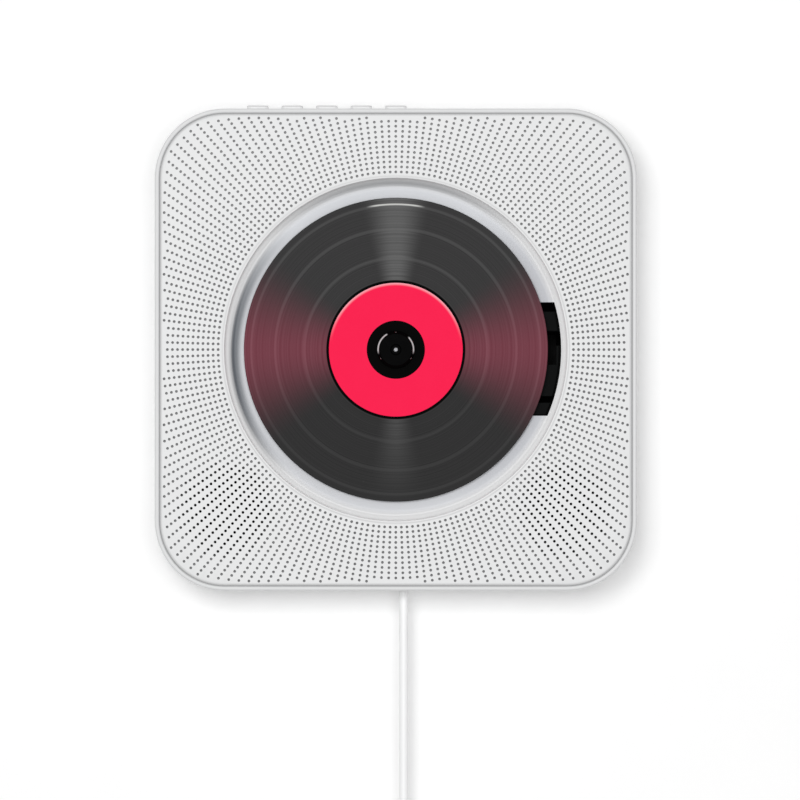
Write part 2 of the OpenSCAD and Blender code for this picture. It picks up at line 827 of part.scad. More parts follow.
module switch_plunger(i) {
  y = board_y + board_t + tact_h;
  color("dimgray") as_hung()
    translate([button_x(i), y - plunger_sunk, button_z])
      rotate([-90, 0, 0]) cylinder(r = plunger_r, h = plunger_sunk + plunger_rise);
}

// Where the button board is screwed to the housing's shelves
function shelf_points() = [
  for (x = [button_x(button_count - 0.5), button_x(button_count / 2), button_x(-0.5)]) [x, board_y, shelf_z]
];

module button_board() {
  color("seagreen") as_hung() difference() {
    box([button_x(button_count - 1) - board_end, board_y, button_z - board_depth / 2],
        [board_end, board_y + board_t, button_z + board_depth / 2]);
    for (p = shelf_points())
      translate([p.x, board_y - through, p.z])
        rotate([-90, 0, 0]) cylinder(r = board_screw_r + 0.2, h = board_t + 2 * through);
  }
}

module tact_switches() {
  y = board_y + board_t;
  color("dimgray") as_hung()
    for (i = [0:button_count - 1]) difference() {
      box([button_x(i) - tact_w / 2, y, button_z - tact_w / 2],
          [button_x(i) + tact_w / 2, y + tact_h, button_z + tact_w / 2]);
      translate([button_x(i), y + tact_h - tact_bore, button_z])
        rotate([-90, 0, 0]) cylinder(r = plunger_r + run_gap, h = tact_bore + through);
    }
}

module button_board_screws() {
  color("silver") as_hung()
    for (p = shelf_points()) translate([p.x, board_y + board_t, p.z]) rotate([-90, 0, 0])
      screw(board_screw_r - run_gap, board_t + board_screw_bite, board_head_r, board_head_h);
}

// ---------------------------------------------------------------- main board

function main_screw_points() = [
  for (x = [main_left + main_screw_inset, main_right - main_screw_inset],
       y = [main_bottom + main_screw_inset, main_top - main_screw_inset]) [x, y]
];

module main_board() {
  color("seagreen") as_hung() slab(main_z, board_t) difference() {
    rounded_plate(main_left, main_bottom, main_right, main_top, 1.5);
    for (p = main_screw_points()) translate(p) circle(board_screw_r + 0.2);
  }
}

module board_parts() {
  z = main_z + board_t;
  color("dimgray") as_hung() {
    board_block(chip_left, chip_low, chip_w, chip_w, chip_t);
    board_block(driver_left, driver_low, driver_w, driver_l, driver_t);
    board_block(socket_left, socket_low, socket_w, socket_l, socket_t);
    for (i = [0:1])
      post([main_left + capacitor_left + i * capacitor_step, main_bottom + capacitor_low],
           capacitor_r, z, z + capacitor_h);
    post([main_left + inductor_left, main_bottom + inductor_low], inductor_r, z, z + inductor_h);
  }
}

module board_block(left, low, w, l, t) {
  from = [main_left + left, main_bottom + low, main_z + board_t];
  box(from, from + [w, l, t]);
}

module board_screws() {
  color("silver") as_hung()
    for (p = main_screw_points()) translate([p.x, p.y, main_z + board_t])
      screw(board_screw_r - run_gap, board_t + board_screw_bite, board_head_r, board_head_h);
}

// ---------------------------------------------------------------- deck of the disc mechanism

module deck_plate() {
  difference() {
    rounded_plate(deck_left, deck_bottom, deck_right, deck_top, deck_corner_r);
    circle(motor_nose_r + run_gap);
    translate([motor_r + 1, -sled_half_w]) square([sled_window_end - motor_r - 1, 2 * sled_half_w]);
    translate([lens_min_x, -turret_half_w - slot_gap])
      square([slot_end - lens_min_x, 2 * (turret_half_w + slot_gap)]);
    for (p = damper_points) translate(p) circle(damper_waist_r);
    translate([wheel_x, wheel_y]) circle(axle_r + run_gap);
  }
}

// Raised ribs at the deck's end, seen beside the disc through the window
module deck_ribs() {
  ribs = [
    [rib_near_x, high_rib_low, high_rib_top], [slot_end, mid_rib_step, mid_rib_top],
    [rib_near_x, mid_rib_low, mid_rib_step], [low_rib_near_x, low_rib_low, low_rib_top]
  ];
  for (rib = ribs) intersection() {
    translate([rib[0], rib[1]]) square([window_r - rib[0], rib[2] - rib[1]]);
    circle(window_r - 1);
  }
}

module traverse_deck() {
  lug_xs = [lens_min_x - sled_back - lug_gap - lug_w, lens_max_x + sled_front + lug_gap];
  color("dimgray") as_hung() difference() {
    union() {
      slab(deck_z, deck_t) deck_plate();
      slab(deck_z - deck_rim_h, deck_rim_h + 0.1) difference() {
        rounded_plate(deck_left, deck_bottom, deck_right, deck_top, deck_corner_r);
        rounded_plate(deck_left + deck_rim_t, deck_bottom + deck_rim_t,
                      deck_right - deck_rim_t, deck_top - deck_rim_t, deck_corner_r - deck_rim_t);
      }
      slab(deck_front_z - 0.1, rib_h + 0.1) deck_ribs();
      for (x = lug_xs, y = [-rod_y, rod_y])
        box([x, y - lug_half, rod_z - rod_r - 1], [x + lug_w, y + lug_half, deck_z + 0.1]);
    }
    for (y = [-rod_y, rod_y])
      translate([lug_xs[0] + 1, y, rod_z])
        rotate([0, 90, 0]) cylinder(r = rod_r + 0.02, h = lug_xs[1] + lug_w - 1 - lug_xs[0] - 1);
  }
}

module deck_dampers() {
  top = deck_front_z + damper_flange_t;
  low = deck_z - damper_flange_t;
  waist = damper_waist_r - 0.02;
  color("black") as_hung()
    for (p = damper_points) spun(p.x, p.y)
      polygon([[damper_bore_r, low], [damper_r, low], [damper_r, deck_z], [waist, deck_z],
               [waist, deck_front_z], [damper_r, deck_front_z], [damper_r, top], [damper_bore_r, top]]);
}

module deck_screws() {
  low = deck_z - damper_flange_t;
  color("silver") as_hung()
    for (p = damper_points) translate([p.x, p.y, low]) mirror([0, 0, 1])
      screw(deck_screw_r - 0.02, floor_back_z + deck_screw_bite - low, deck_head_r, deck_head_h);
}

// ---------------------------------------------------------------- spindle and disc

module spindle_motor() {
  bore = shaft_r + run_gap;
  end_z = deck_z - motor_h;
  cap_z = end_z + motor_cap_h;
  nose_z = deck_front_z + motor_nose_h;
  color("silver") as_hung() spun()
    polygon([[bore, end_z], [motor_nose_r, end_z], [motor_nose_r, cap_z], [motor_r - 1, cap_z],
             [motor_r, cap_z + 1], [motor_r, deck_z], [motor_nose_r, deck_z], [motor_nose_r, nose_z], [bore, nose_z]]);
}

module spindle_shaft() {
  low = deck_z - motor_h - 0.6;
  top = disc_top_z + hub_rise + 0.2;
  edge = 0.3;
  color("silver") as_hung() spun()
    polygon([[0, low], [shaft_r, low], [shaft_r, top - edge], [shaft_r - edge, top], [0, top]]);
}

// Platter, sleeve on the shaft and the centring hub with its three ball pockets
module turntable_hub() {
  low = deck_front_z + motor_nose_h + 0.8;
  sleeve_r = 4.5;
  plate_top = disc_z - pad_t;
  plate_low = plate_top - table_t;
  edge = 0.3;
  cone_z = disc_top_z + 0.6;
  top = disc_top_z + hub_rise;
  dimple_r = 2.2;
  dimple_z = top - 0.5;
  pocket = ball_r + 0.5;
  color("black") as_hung() difference() {
    spun()
      polygon([[shaft_r, low], [sleeve_r, low], [sleeve_r + 0.5, plate_low], [table_r - edge, plate_low],
               [table_r, plate_low + edge], [table_r, plate_top], [hub_r, plate_top], [hub_r, cone_z],
               [hub_r - 1.1, top], [dimple_r, top], [dimple_r - 0.4, dimple_z], [shaft_r, dimple_z]]);
    for (a = ball_angles) rotate(a)
      translate([ball_reach - ball_r + pocket, 0, disc_top_z]) rotate([0, -90, 0])
        cylinder(r = ball_r + run_gap, h = pocket + ball_r + ball_well);
  }
}

module turntable_pad() {
  color("dimgray") as_hung() slab(disc_z - pad_t, pad_t) difference() {
    circle(table_r - pad_edge);
    circle(table_r - pad_edge - pad_w);
  }
}

module hub_ball(i) {
  color("silver") as_hung()
    rotate(ball_angles[i]) translate([ball_reach - ball_r, 0, disc_top_z]) sphere(ball_r);
}

// Disc with a raised stacking ring on its underside
module disc() {
  r = disc_d / 2;
  hole_r = disc_hole_d / 2;
  ring_r = 16.6;
  ring_w = 1.2;
  ring_t = 0.2;
  edge = 0.3;
  color("dimgray") as_hung() spun()
    polygon([[hole_r, disc_z], [ring_r, disc_z], [ring_r + ring_t, disc_z - ring_t],
             [ring_r + ring_w - ring_t, disc_z - ring_t], [ring_r + ring_w, disc_z], [r - edge, disc_z],
             [r, disc_z + edge], [r, disc_top_z - edge], [r - edge, disc_top_z], [hole_r, disc_top_z]]);
}

module disc_label() {
  color("crimson") as_hung() slab(disc_top_z, label_t) difference() {
    circle(d = label_d);
    circle(d = label_hole_d);
  }
}

// ---------------------------------------------------------------- sled, lens and drive

// Rack along the sled's side. One tooth stands at wheel_x when the pickup is parked.
module rack_outline() {
  pitch = PI * rack_module;
  first = ceil((lens_rest_x - rack_back - wheel_x + pitch / 2) / pitch);
  last = floor((lens_rest_x + rack_front - wheel_x - pitch / 2) / pitch);
  root_y = rack_pitch_y - 1.1 * rack_module;
  tip_y = rack_pitch_y + 0.85 * rack_module;
  polygon(concat(
    [[lens_rest_x - rack_back, rack_foot_y], [lens_rest_x - rack_back, root_y]],
    [for (i = [first:last]) let (x = wheel_x + i * pitch)
      each [[x - 0.30 * pitch, root_y], [x - 0.10 * pitch, tip_y],
            [x + 0.10 * pitch, tip_y], [x + 0.30 * pitch, root_y]]],
    [[lens_rest_x + rack_front, root_y], [lens_rest_x + rack_front, rack_foot_y]]
  ));
}

module pickup_sled() {
  x0 = lens_rest_x - sled_back;
  x1 = lens_rest_x + sled_front;
  jaw_top = rod_z + rod_r + run_gap;
  jaw_low = rod_z - rod_r - run_gap;
  ear = 5;
  color("dimgray") as_hung() difference() {
    union() {
      box([x0, -sled_half_w, sled_z], [x1, sled_half_w, sled_top_z]);
      for (x = [x0, x1 - ear])
        box([x, -rod_y - lug_half, rod_z - lug_half], [x + ear, -sled_half_w + 0.1, sled_top_z]);
      box([x0, sled_half_w - 0.1, jaw_top], [x1, rack_foot_y + 0.1, sled_top_z]);
      box([x0 + 5, sled_half_w - 0.1, sled_z], [x1 - 4, rod_y + 2, jaw_low]);
      slab(sled_top_z - rack_h, rack_h) rack_outline();
      box([lens_rest_x - turret_back, -turret_half_w, sled_top_z - 0.1],
          [lens_rest_x + turret_front, turret_half_w, sled_top_z + turret_h]);
    }
    translate([x0 - through, -rod_y, rod_z])
      rotate([0, 90, 0]) cylinder(r = rod_r + run_gap, h = x1 - x0 + 2 * through);
    pit = holder_w / 2 + pit_gap;
    box([lens_rest_x - pit, -pit, sled_top_z + 0.8], [lens_rest_x + pit, pit, sled_top_z + turret_h + through]);
    box([x0 + 2, -sled_half_w + 2, sled_z - through], [x1 - 2, sled_half_w - 2, sled_z + 4]);
  }
}

module lens_holder() {
  z = sled_top_z + holder_gap;
  collar_r = lens_r + 1.4;
  collar_z = z + holder_h - 1.1;
  color("black") as_hung() translate([lens_rest_x, 0, 0]) {
    slab(z, holder_h - 1) rounded_rect(holder_w, holder_w, 0.8);
    slab(collar_z, lens_top_z - 0.6 - collar_z) difference() {
      circle(collar_r);
      circle(lens_r + 0.02);
    }
  }
}

module objective_lens() {
  z = sled_top_z + holder_gap + holder_h - 1;
  crown_z = lens_top_z - lens_crown;
  color("lightskyblue") as_hung() spun(lens_rest_x)
    polygon(concat([[0, z], [lens_r, z], [lens_r, crown_z]],
      [for (t = [1:5]) let (a = t * 18) [lens_r * cos(a), crown_z + lens_crown * sin(a)]]));
}

module guide_rods() {
  from = lens_min_x - sled_back - lug_gap - lug_w + 1;
  to = lens_max_x + sled_front + lug_gap + lug_w - 1;
  color("silver") as_hung()
    for (y = [-rod_y, rod_y]) translate([from, y, rod_z]) rotate([0, 90, 0]) cylinder(r = rod_r, h = to - from);
}

module sled_motor() {
  low = deck_z - sled_motor_h;
  nose_z = low - sled_nose_h;
  bore = sled_shaft_r + run_gap;
  edge = 0.8;
  front_t = 1;
  color("silver") as_hung() spun(sled_motor_x, sled_motor_y)
    polygon([[bore, nose_z], [sled_nose_r, nose_z], [sled_nose_r, low], [sled_motor_r - edge, low],
             [sled_motor_r, low + edge], [sled_motor_r, deck_z], [0, deck_z], [0, deck_z - front_t],
             [bore, deck_z - front_t]]);
}

module sled_motor_shaft() {
  color("silver") as_hung() spun(sled_motor_x, sled_motor_y)
    polygon([[0, axle_end_z], [sled_shaft_r - 0.2, axle_end_z], [sled_shaft_r, axle_end_z + 0.2],
             [sled_shaft_r, deck_z - 1.1], [0, deck_z - 1.1]]);
}

module motor_pinion() {
  color("ivory") as_hung() translate([sled_motor_x, sled_motor_y, drive_wheel_z - pinion_side])
    linear_extrude(drive_wheel_t + 2 * pinion_side) difference() {
      gear_outline(pinion_teeth, drive_module, sled_motor_angle + 180 + 180 / pinion_teeth);
      circle(sled_shaft_r);
    }
}

module idler_gear() {
  bore = axle_r + run_gap;
  small_z = sled_top_z - rack_h - pinion_side;
  top_z = small_z + rack_h + 2 * pinion_side;
  wheel_top_z = drive_wheel_z + drive_wheel_t;
  neck_r = 2.4;
  hole_r = 1.8;
  color("ivory") as_hung() translate([wheel_x, wheel_y, 0]) difference() {
    union() {
      slab(drive_wheel_z, drive_wheel_t) gear_outline(drive_wheel_teeth, drive_module, sled_motor_angle);
      slab(wheel_top_z - 0.1, small_z - wheel_top_z + 0.2) circle(neck_r);
      slab(small_z, top_z - small_z) gear_outline(rack_wheel_teeth, rack_module, -90 + 180 / rack_wheel_teeth);
    }
    slab(drive_wheel_z - through, top_z - drive_wheel_z + 2 * through) circle(bore);
    for (a = [0:60:300]) rotate(a)
      translate([0.6 * drive_r, 0, drive_wheel_z - through])
        cylinder(r = hole_r, h = drive_wheel_t + 1.5 * through);
  }
}

module idler_axle() {
  low = axle_end_z - axle_head_h;
  top = deck_front_z + 0.3;
  color("silver") as_hung() spun(wheel_x, wheel_y)
    polygon([[0, low], [axle_head_r, low], [axle_head_r, axle_end_z], [axle_r, axle_end_z],
             [axle_r, top], [0, top]]);
}

// ---------------------------------------------------------------- speakers

module both_speakers() {
  for (x = [-speaker_x, speaker_x]) translate([x, -speaker_y, 0]) children();
}

module speaker_frames() {
  flange_z = panel_z - speaker_flange_t;
  inner_r = speaker_r - speaker_flange_w;
  foot_z = flange_z - basket_h;
  foot_top = foot_z + basket_t;
  hole_r = coil_gap_r + 0.2;
  window_mid = (inner_r + magnet_r) / 2 - basket_t;
  color("dimgray") as_hung() both_speakers() difference() {
    spun()
      polygon([[inner_r, panel_z], [speaker_r, panel_z], [speaker_r, flange_z], [inner_r + basket_t, flange_z],
               [magnet_r - basket_t, foot_top], [magnet_r - basket_t, foot_z], [hole_r, foot_z],
               [hole_r, foot_top], [magnet_r - 2 * basket_t, foot_top], [inner_r, flange_z - 0.6]]);
    for (a = [30:60:330]) rotate(a)
      translate([window_mid, 0, foot_z + basket_h / 2 - 1.5]) rotate([0, 38, 0])
        cylinder(r = basket_hole_r, h = 0.8 * basket_h, center = true);
  }
}

module speaker_magnets() {
  top = panel_z - speaker_flange_t - basket_h;
  plate_z = top - magnet_plate_t;
  edge = 0.6;
  color("gray") as_hung() both_speakers() spun()
    polygon([[0, top - magnet_h], [magnet_r - edge, top - magnet_h], [magnet_r, top - magnet_h + edge],
             [magnet_r, plate_z], [magnet_r - 1, plate_z], [magnet_r - 1, top], [coil_gap_r, top],
             [coil_gap_r, top - coil_gap_depth], [pole_r, top - coil_gap_depth], [pole_r, top + pole_rise],
             [0, top + pole_rise]]);
}

// Paper cone with its rolled surround, voice coil and dust cap
module speaker_cone(side) {
  flange_z = panel_z - speaker_flange_t;
  edge_r = speaker_r - speaker_flange_w - cone_side_gap;
  edge_z = panel_z - cone_swing - 0.15 - surround_rise;
  neck_z = flange_z - basket_h + 2.05;
  coil_r = voice_coil_r - voice_coil_t;
  roll_r = (surround_w + surround_t) / 2 - 0.1;
  roll_x = edge_r - roll_r - 0.1;
  color("darkslategray") as_hung() translate([side * speaker_x, -speaker_y, 0]) spun()
    polygon(concat(
      [[edge_r, edge_z], [edge_r, edge_z - surround_t], [edge_r - surround_w, edge_z - 1.5 * surround_t],
       [voice_coil_r, neck_z - 0.2], [voice_coil_r, neck_z - voice_coil_h], [coil_r, neck_z - voice_coil_h],
       [coil_r, neck_z]],
      [for (t = [0:4]) let (a = 20 * t + 10) [coil_r * cos(a), neck_z + 0.4 + (cap_rise - 1.2) * sin(a)]],
      [[0, neck_z + cap_rise], [0.6 * coil_r, neck_z + cap_rise - 0.2], [coil_r + 0.4, neck_z + cap_rise / 2],
       [edge_r - 2 * roll_r - 0.2, edge_z]],
      [for (t = [0:4]) let (a = 180 - 45 * t) [roll_x + roll_r * cos(a), edge_z + surround_rise * sin(a)]]
    ));
}

// ---------------------------------------------------------------- pull cord

module pull_plunger() {
  y = pull_body_y;
  top = y + pull_body_h;
  run_r = guide_r - run_gap;
  groove_r = run_r - pull_groove_depth;
  land = 4;
  edge = 0.4;
  shoulder = 2.4;
  color("dimgray") as_hung() spun_upright(cord_x, cord_z)
    polygon([[0, y], [run_r - edge, y], [run_r, y + edge], [run_r, y + land], [groove_r, y + land + edge],
             [groove_r, y + land + pull_groove], [run_r, y + land + pull_groove + edge],
             [run_r, top - shoulder],
             [pull_neck_r, top - shoulder / 2], [pull_neck_r, top], [0, top]]);
}

module pull_spring() {
  rings = 8 * spring_turns;
  rise = spring_h - spring_wire_d;
  r = spring_r - spring_wire_d / 2;
  path = [for (i = [0:rings])
    let (a = 360 * i / 8)
    [cord_x + r * cos(a), inner_bottom_y + spring_wire_d / 2 + rise * i / rings, cord_z + r * sin(a)]];
  color("silver") as_hung() tube(path, spring_wire_d / 2, 6, [0, 1, 0]);
}

module pull_switch() {
  y = pull_body_y + pull_body_h + switch_gap;
  color("dimgray") as_hung() difference() {
    box([cord_x - switch_w / 2, y, cord_z - switch_d / 2],
        [cord_x + switch_w / 2, y + switch_h, cord_z + switch_d / 2]);
    for (x = [-switch_pin_x, switch_pin_x])
      post([cord_x + x, y + 0.6 * switch_h], switch_pin_r, cord_z - switch_d, cord_z + switch_d);
  }
}

module cord_relief() {
  top = pull_body_y;
  step = relief_rib + 0.8;
  sunk = 0.35;
  color("white") as_hung() spun_upright(cord_x, cord_z)
    polygon(concat(
      [[0, relief_end_y], [relief_end_r, relief_end_y]],
      [for (i = [0:relief_ribs - 1])
        let (
          y = relief_end_y + relief_rib + step * i,
          r = relief_end_r + (relief_top_r - relief_end_r) * (i + 1) / (relief_ribs + 1)
        )
        each [[r, y], [r - sunk, y + 0.15], [r - sunk, y + relief_rib - 0.4], [r, y + relief_rib - 0.25]]],
      [[relief_top_r, top - 0.6], [relief_top_r, top], [0, top]]
    ));
}

module cord_drop() {
  color("white") as_hung() tube(drop_points, cord_d / 2, tube_sides, [0, 0, 1]);
}

// Route of the coiled cord: down, over into the outer turn, in by a steady spiral, back a layer
// in the half turn at the middle, out again and down.
function coil_path() = concat(
  [[cord_x, coil_start_y, cord_z]],
  [for (i = [0:5]) let (a = join_angle * i / 6)
    [cord_x + bend_r * (1 - cos(a)), bend_y - bend_r * sin(a), cord_z]],
  [for (a = [join_angle:-360 / coil_rings:last_angle + 0.01]) coil_point(a)],
  [coil_point(last_angle), [tail_x, tail_y, tail_z]]
);

// Radius and level of the coil at an angle that counts down from join_angle to last_angle
function coil_point(a) =
  let (
    inner_r = coil_r - coil_pitch * coil_turns,
    turned = join_angle - a,
    half = turned - 360 * coil_turns,
    r = half < 0 ? coil_r - coil_pitch * turned / 360
      : half < 180 ? inner_r - coil_pitch * min(half, 180 - half) / 360
      : inner_r + coil_pitch * (half - 180) / 360,
    z = cord_z + layer_step * max(0, min(1, half / 180))
  )
  [cord_x + r * cos(a), coil_y + r * sin(a), z];

// Length of a path, and the least distance between parts of it that aren't neighbours
function path_length(p) = sum_of([for (i = [1:len(p) - 1]) norm(p[i] - p[i - 1])]);
function sum_of(v) = v * [for (i = v) 1];
function least_gap(p, skip) =
  min([for (i = [0:len(p) - 1], j = [i + skip:1:len(p) - 1]) norm(p[i] - p[j])]);

echo(cord_length_mm = path_length(drop_points) + path_length(coil_path()) + path_length(tail_points));
echo(coil_least_gap_mm = least_gap(coil_path(), 8) - cord_d);

module cord_coil() {
  color("white") as_hung() tube(coil_path(), cord_d / 2, coil_sides, [0, 0, 1]);
}

module cord_tail() {
  color("white") as_hung() tube(tail_points, cord_d / 2, tube_sides, [0, 0, 1]);
}

// Hook and loop band round all the turns
module cord_tie() {
  inner = coil_r - coil_pitch * coil_turns - cord_d / 2 - tie_gap;
  outer = coil_r + cord_d / 2 + tie_gap;
  half = cord_d / 2 + tie_gap;
  mid_z = cord_z + layer_step / 2;
  h = abs(layer_step) + 2 * half;
  color("gainsboro") as_hung() translate([cord_x, coil_y, mid_z]) rotate(tie_angle)
    rotate([90, 0, 0]) translate([(inner + outer) / 2, 0, -tie_w / 2]) linear_extrude(tie_w) difference() {
      rounded_rect(outer - inner + 2 * tie_t, h + 2 * tie_t, 3);
      rounded_rect(outer - inner, h, 2);
    }
}

// ---------------------------------------------------------------- plug

module at_plug() {
  translate([tail_x, plug_y, tail_z]) rotate([90, 0, 0]) children();
}

module plug_body() {
  neck_r = cord_d / 2 + 0.7;
  collar = 1;
  color("white") as_hung() at_plug() difference() {
    union() {
      rotate_extrude()
        polygon([[0, 0], [neck_r, 0], [neck_r + 0.4, collar],
                 [plug_t / 2 - 0.2, plug_boot_h], [0, plug_boot_h]]);
      slab(plug_boot_h - 0.6, 0.7) rounded_rect(plug_w - 1, plug_t - 1, plug_corner_r - 0.4);
      slab(plug_boot_h, plug_l) rounded_rect(plug_w, plug_t, plug_corner_r);
    }
    for (i = [0:3], side = [-1, 1])
      translate([-plug_w / 2 - through, side * plug_t / 2 - plug_rib / 2, plug_boot_h + 5 + plug_rib_step * i])
        cube([plug_w + 2 * through, plug_rib, 1]);
  }
}

module plug_shell() {
  z = plug_boot_h + plug_l;
  color("silver") as_hung() at_plug() difference() {
    slab(z, plug_shell_l) difference() {
      rounded_rect(plug_shell_w, plug_shell_h, 0.5);
      rounded_rect(plug_shell_w - 2 * plug_sheet_t, plug_shell_h - 2 * plug_sheet_t, 0.25);
    }
    for (x = [-plug_window_x, plug_window_x], y = [-1, 1])
      translate([x - plug_window / 2, y * plug_shell_h / 2 - through, z + 5.2])
        cube([plug_window, 2 * through, plug_window]);
  }
}

module plug_tongue() {
  z = plug_boot_h + plug_l;
  inset = plug_sheet_t + tongue_gap;
  color("whitesmoke") as_hung() at_plug()
    translate([inset - plug_shell_w / 2, inset - plug_shell_h / 2, z])
      cube([plug_shell_w - 2 * inset, tongue_t, plug_shell_l - 0.5]);
}

// ---------------------------------------------------------------- nodes

wall_bracket();
rear_housing();
rubber_feet();
housing_screws();
front_cover();
top_button(4);  // top_button_1
top_button(3);  // top_button_2
top_button(2);  // top_button_3
top_button(1);  // top_button_4
top_button(0);  // top_button_5
switch_plunger(4);  // switch_plunger_1
switch_plunger(3);  // switch_plunger_2
switch_plunger(2);  // switch_plunger_3
switch_plunger(1);  // switch_plunger_4
switch_plunger(0);  // switch_plunger_5
button_board();
tact_switches();
button_board_screws();
main_board();
board_parts();
board_screws();
traverse_deck();
deck_dampers();
deck_screws();
spindle_motor();
spindle_shaft();
turntable_hub();
turntable_pad();
hub_ball(0);  // hub_ball_1
hub_ball(1);  // hub_ball_2
hub_ball(2);  // hub_ball_3
disc();
disc_label();
pickup_sled();
lens_holder();
objective_lens();
guide_rods();
sled_motor();
sled_motor_shaft();
motor_pinion();
idler_gear();
idler_axle();
speaker_frames();
speaker_magnets();
speaker_cone(-1);  // speaker_cone_left
speaker_cone(1);  // speaker_cone_right
pull_plunger();
pull_spring();
pull_switch();
cord_relief();
cord_drop();
cord_coil();
cord_tail();
cord_tie();
plug_body();
plug_shell();
plug_tongue();
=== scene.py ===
# Wall mounted disc player: an open disc well in a square perforated front, five keys on the top
# edge and a white lead below that is also the pull cord of its switch.
import math

import bmesh
import bpy
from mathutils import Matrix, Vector


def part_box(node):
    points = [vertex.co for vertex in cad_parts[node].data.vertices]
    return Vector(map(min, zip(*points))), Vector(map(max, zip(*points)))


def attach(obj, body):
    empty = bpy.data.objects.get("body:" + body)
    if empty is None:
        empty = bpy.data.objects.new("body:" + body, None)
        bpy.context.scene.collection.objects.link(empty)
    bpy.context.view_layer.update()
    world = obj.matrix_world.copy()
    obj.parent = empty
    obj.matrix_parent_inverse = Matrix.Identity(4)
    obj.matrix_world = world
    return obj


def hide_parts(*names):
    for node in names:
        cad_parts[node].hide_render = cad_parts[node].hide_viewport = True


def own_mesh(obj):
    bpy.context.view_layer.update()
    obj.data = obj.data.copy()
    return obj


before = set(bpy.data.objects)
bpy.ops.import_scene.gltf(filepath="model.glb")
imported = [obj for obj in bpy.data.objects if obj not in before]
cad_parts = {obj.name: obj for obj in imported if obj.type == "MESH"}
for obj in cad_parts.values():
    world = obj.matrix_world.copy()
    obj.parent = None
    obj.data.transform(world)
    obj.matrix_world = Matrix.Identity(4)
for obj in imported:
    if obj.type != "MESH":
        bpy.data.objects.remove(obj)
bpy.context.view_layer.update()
scene = bpy.context.scene

# ---- Camera
# The photograph looks square at the front from far off, so that neither the sides nor the top
# show. Its 800 pixels span 315.2 mm at the front face, with the spindle a little above the middle.
scene.view_settings.view_transform = "Standard"
body_d = 0.042
view_w = 0.3152
view_x = 0.00165
view_z = -0.01986
camera_data = bpy.data.cameras.new("camera")
camera_data.lens = 300
camera_data.sensor_width = 36
camera = bpy.data.objects.new("camera", camera_data)
scene.collection.objects.link(camera)
camera.location = (view_x, -body_d - view_w * camera_data.lens / camera_data.sensor_width, view_z)
camera.rotation_euler = (math.radians(90), 0, 0)
scene.camera = camera


# ---- Wall and light
# A plain white painted wall close behind the player, two broad lamps in front of it and an even
# white room. The wall is open behind the body and clear from behind, for a look at the back.
class Wire:
    """A value in a finish's node tree. Arithmetic on it adds the Math nodes that work it out."""

    def __init__(self, finish, socket):
        self.finish = finish
        self.socket = socket

    def maths(self, operation, *values):
        return self.finish.node("Math", {"operation": operation}, dict(enumerate(values)))

    def __add__(self, other):
        return self.maths("ADD", self, other)

    def __radd__(self, other):
        return self.maths("ADD", other, self)

    def __sub__(self, other):
        return self.maths("SUBTRACT", self, other)

    def __rsub__(self, other):
        return self.maths("SUBTRACT", other, self)

    def __mul__(self, other):
        return self.maths("MULTIPLY", self, other)

    def __rmul__(self, other):
        return self.maths("MULTIPLY", other, self)

    def __truediv__(self, other):
        return self.maths("DIVIDE", self, other)

    def __rtruediv__(self, other):
        return self.maths("DIVIDE", other, self)

    def __abs__(self):
        return self.maths("ABSOLUTE", self)

    def sine(self):
        return self.maths("SINE", self)

    def step(self, edge, width):
        """0 below the edge and 1 above it, with a soft change of that width."""
        return self.finish.node(
            "MapRange", {"interpolation_type": "SMOOTHSTEP"},
            {0: self, 1: edge - width / 2, 2: edge + width / 2, 3: 0, 4: 1})

    def within(self, low, high, soft):
        """1 between two places and 0 outside them."""
        return self.step(low, soft) * (1 - self.step(high, soft))

    def band(self, middle, width, soft):
        """1 inside a band round the middle, falling to 0 outside it."""
        return 1 - abs(self - middle).step(width / 2, soft)

    def repeat(self):
        """Place inside each stretch of length 1, from -0.5 to 0.5."""
        return self - self.maths("FLOOR", self) - 0.5

    def larger(self, other):
        return self.maths("MAXIMUM", self, other)


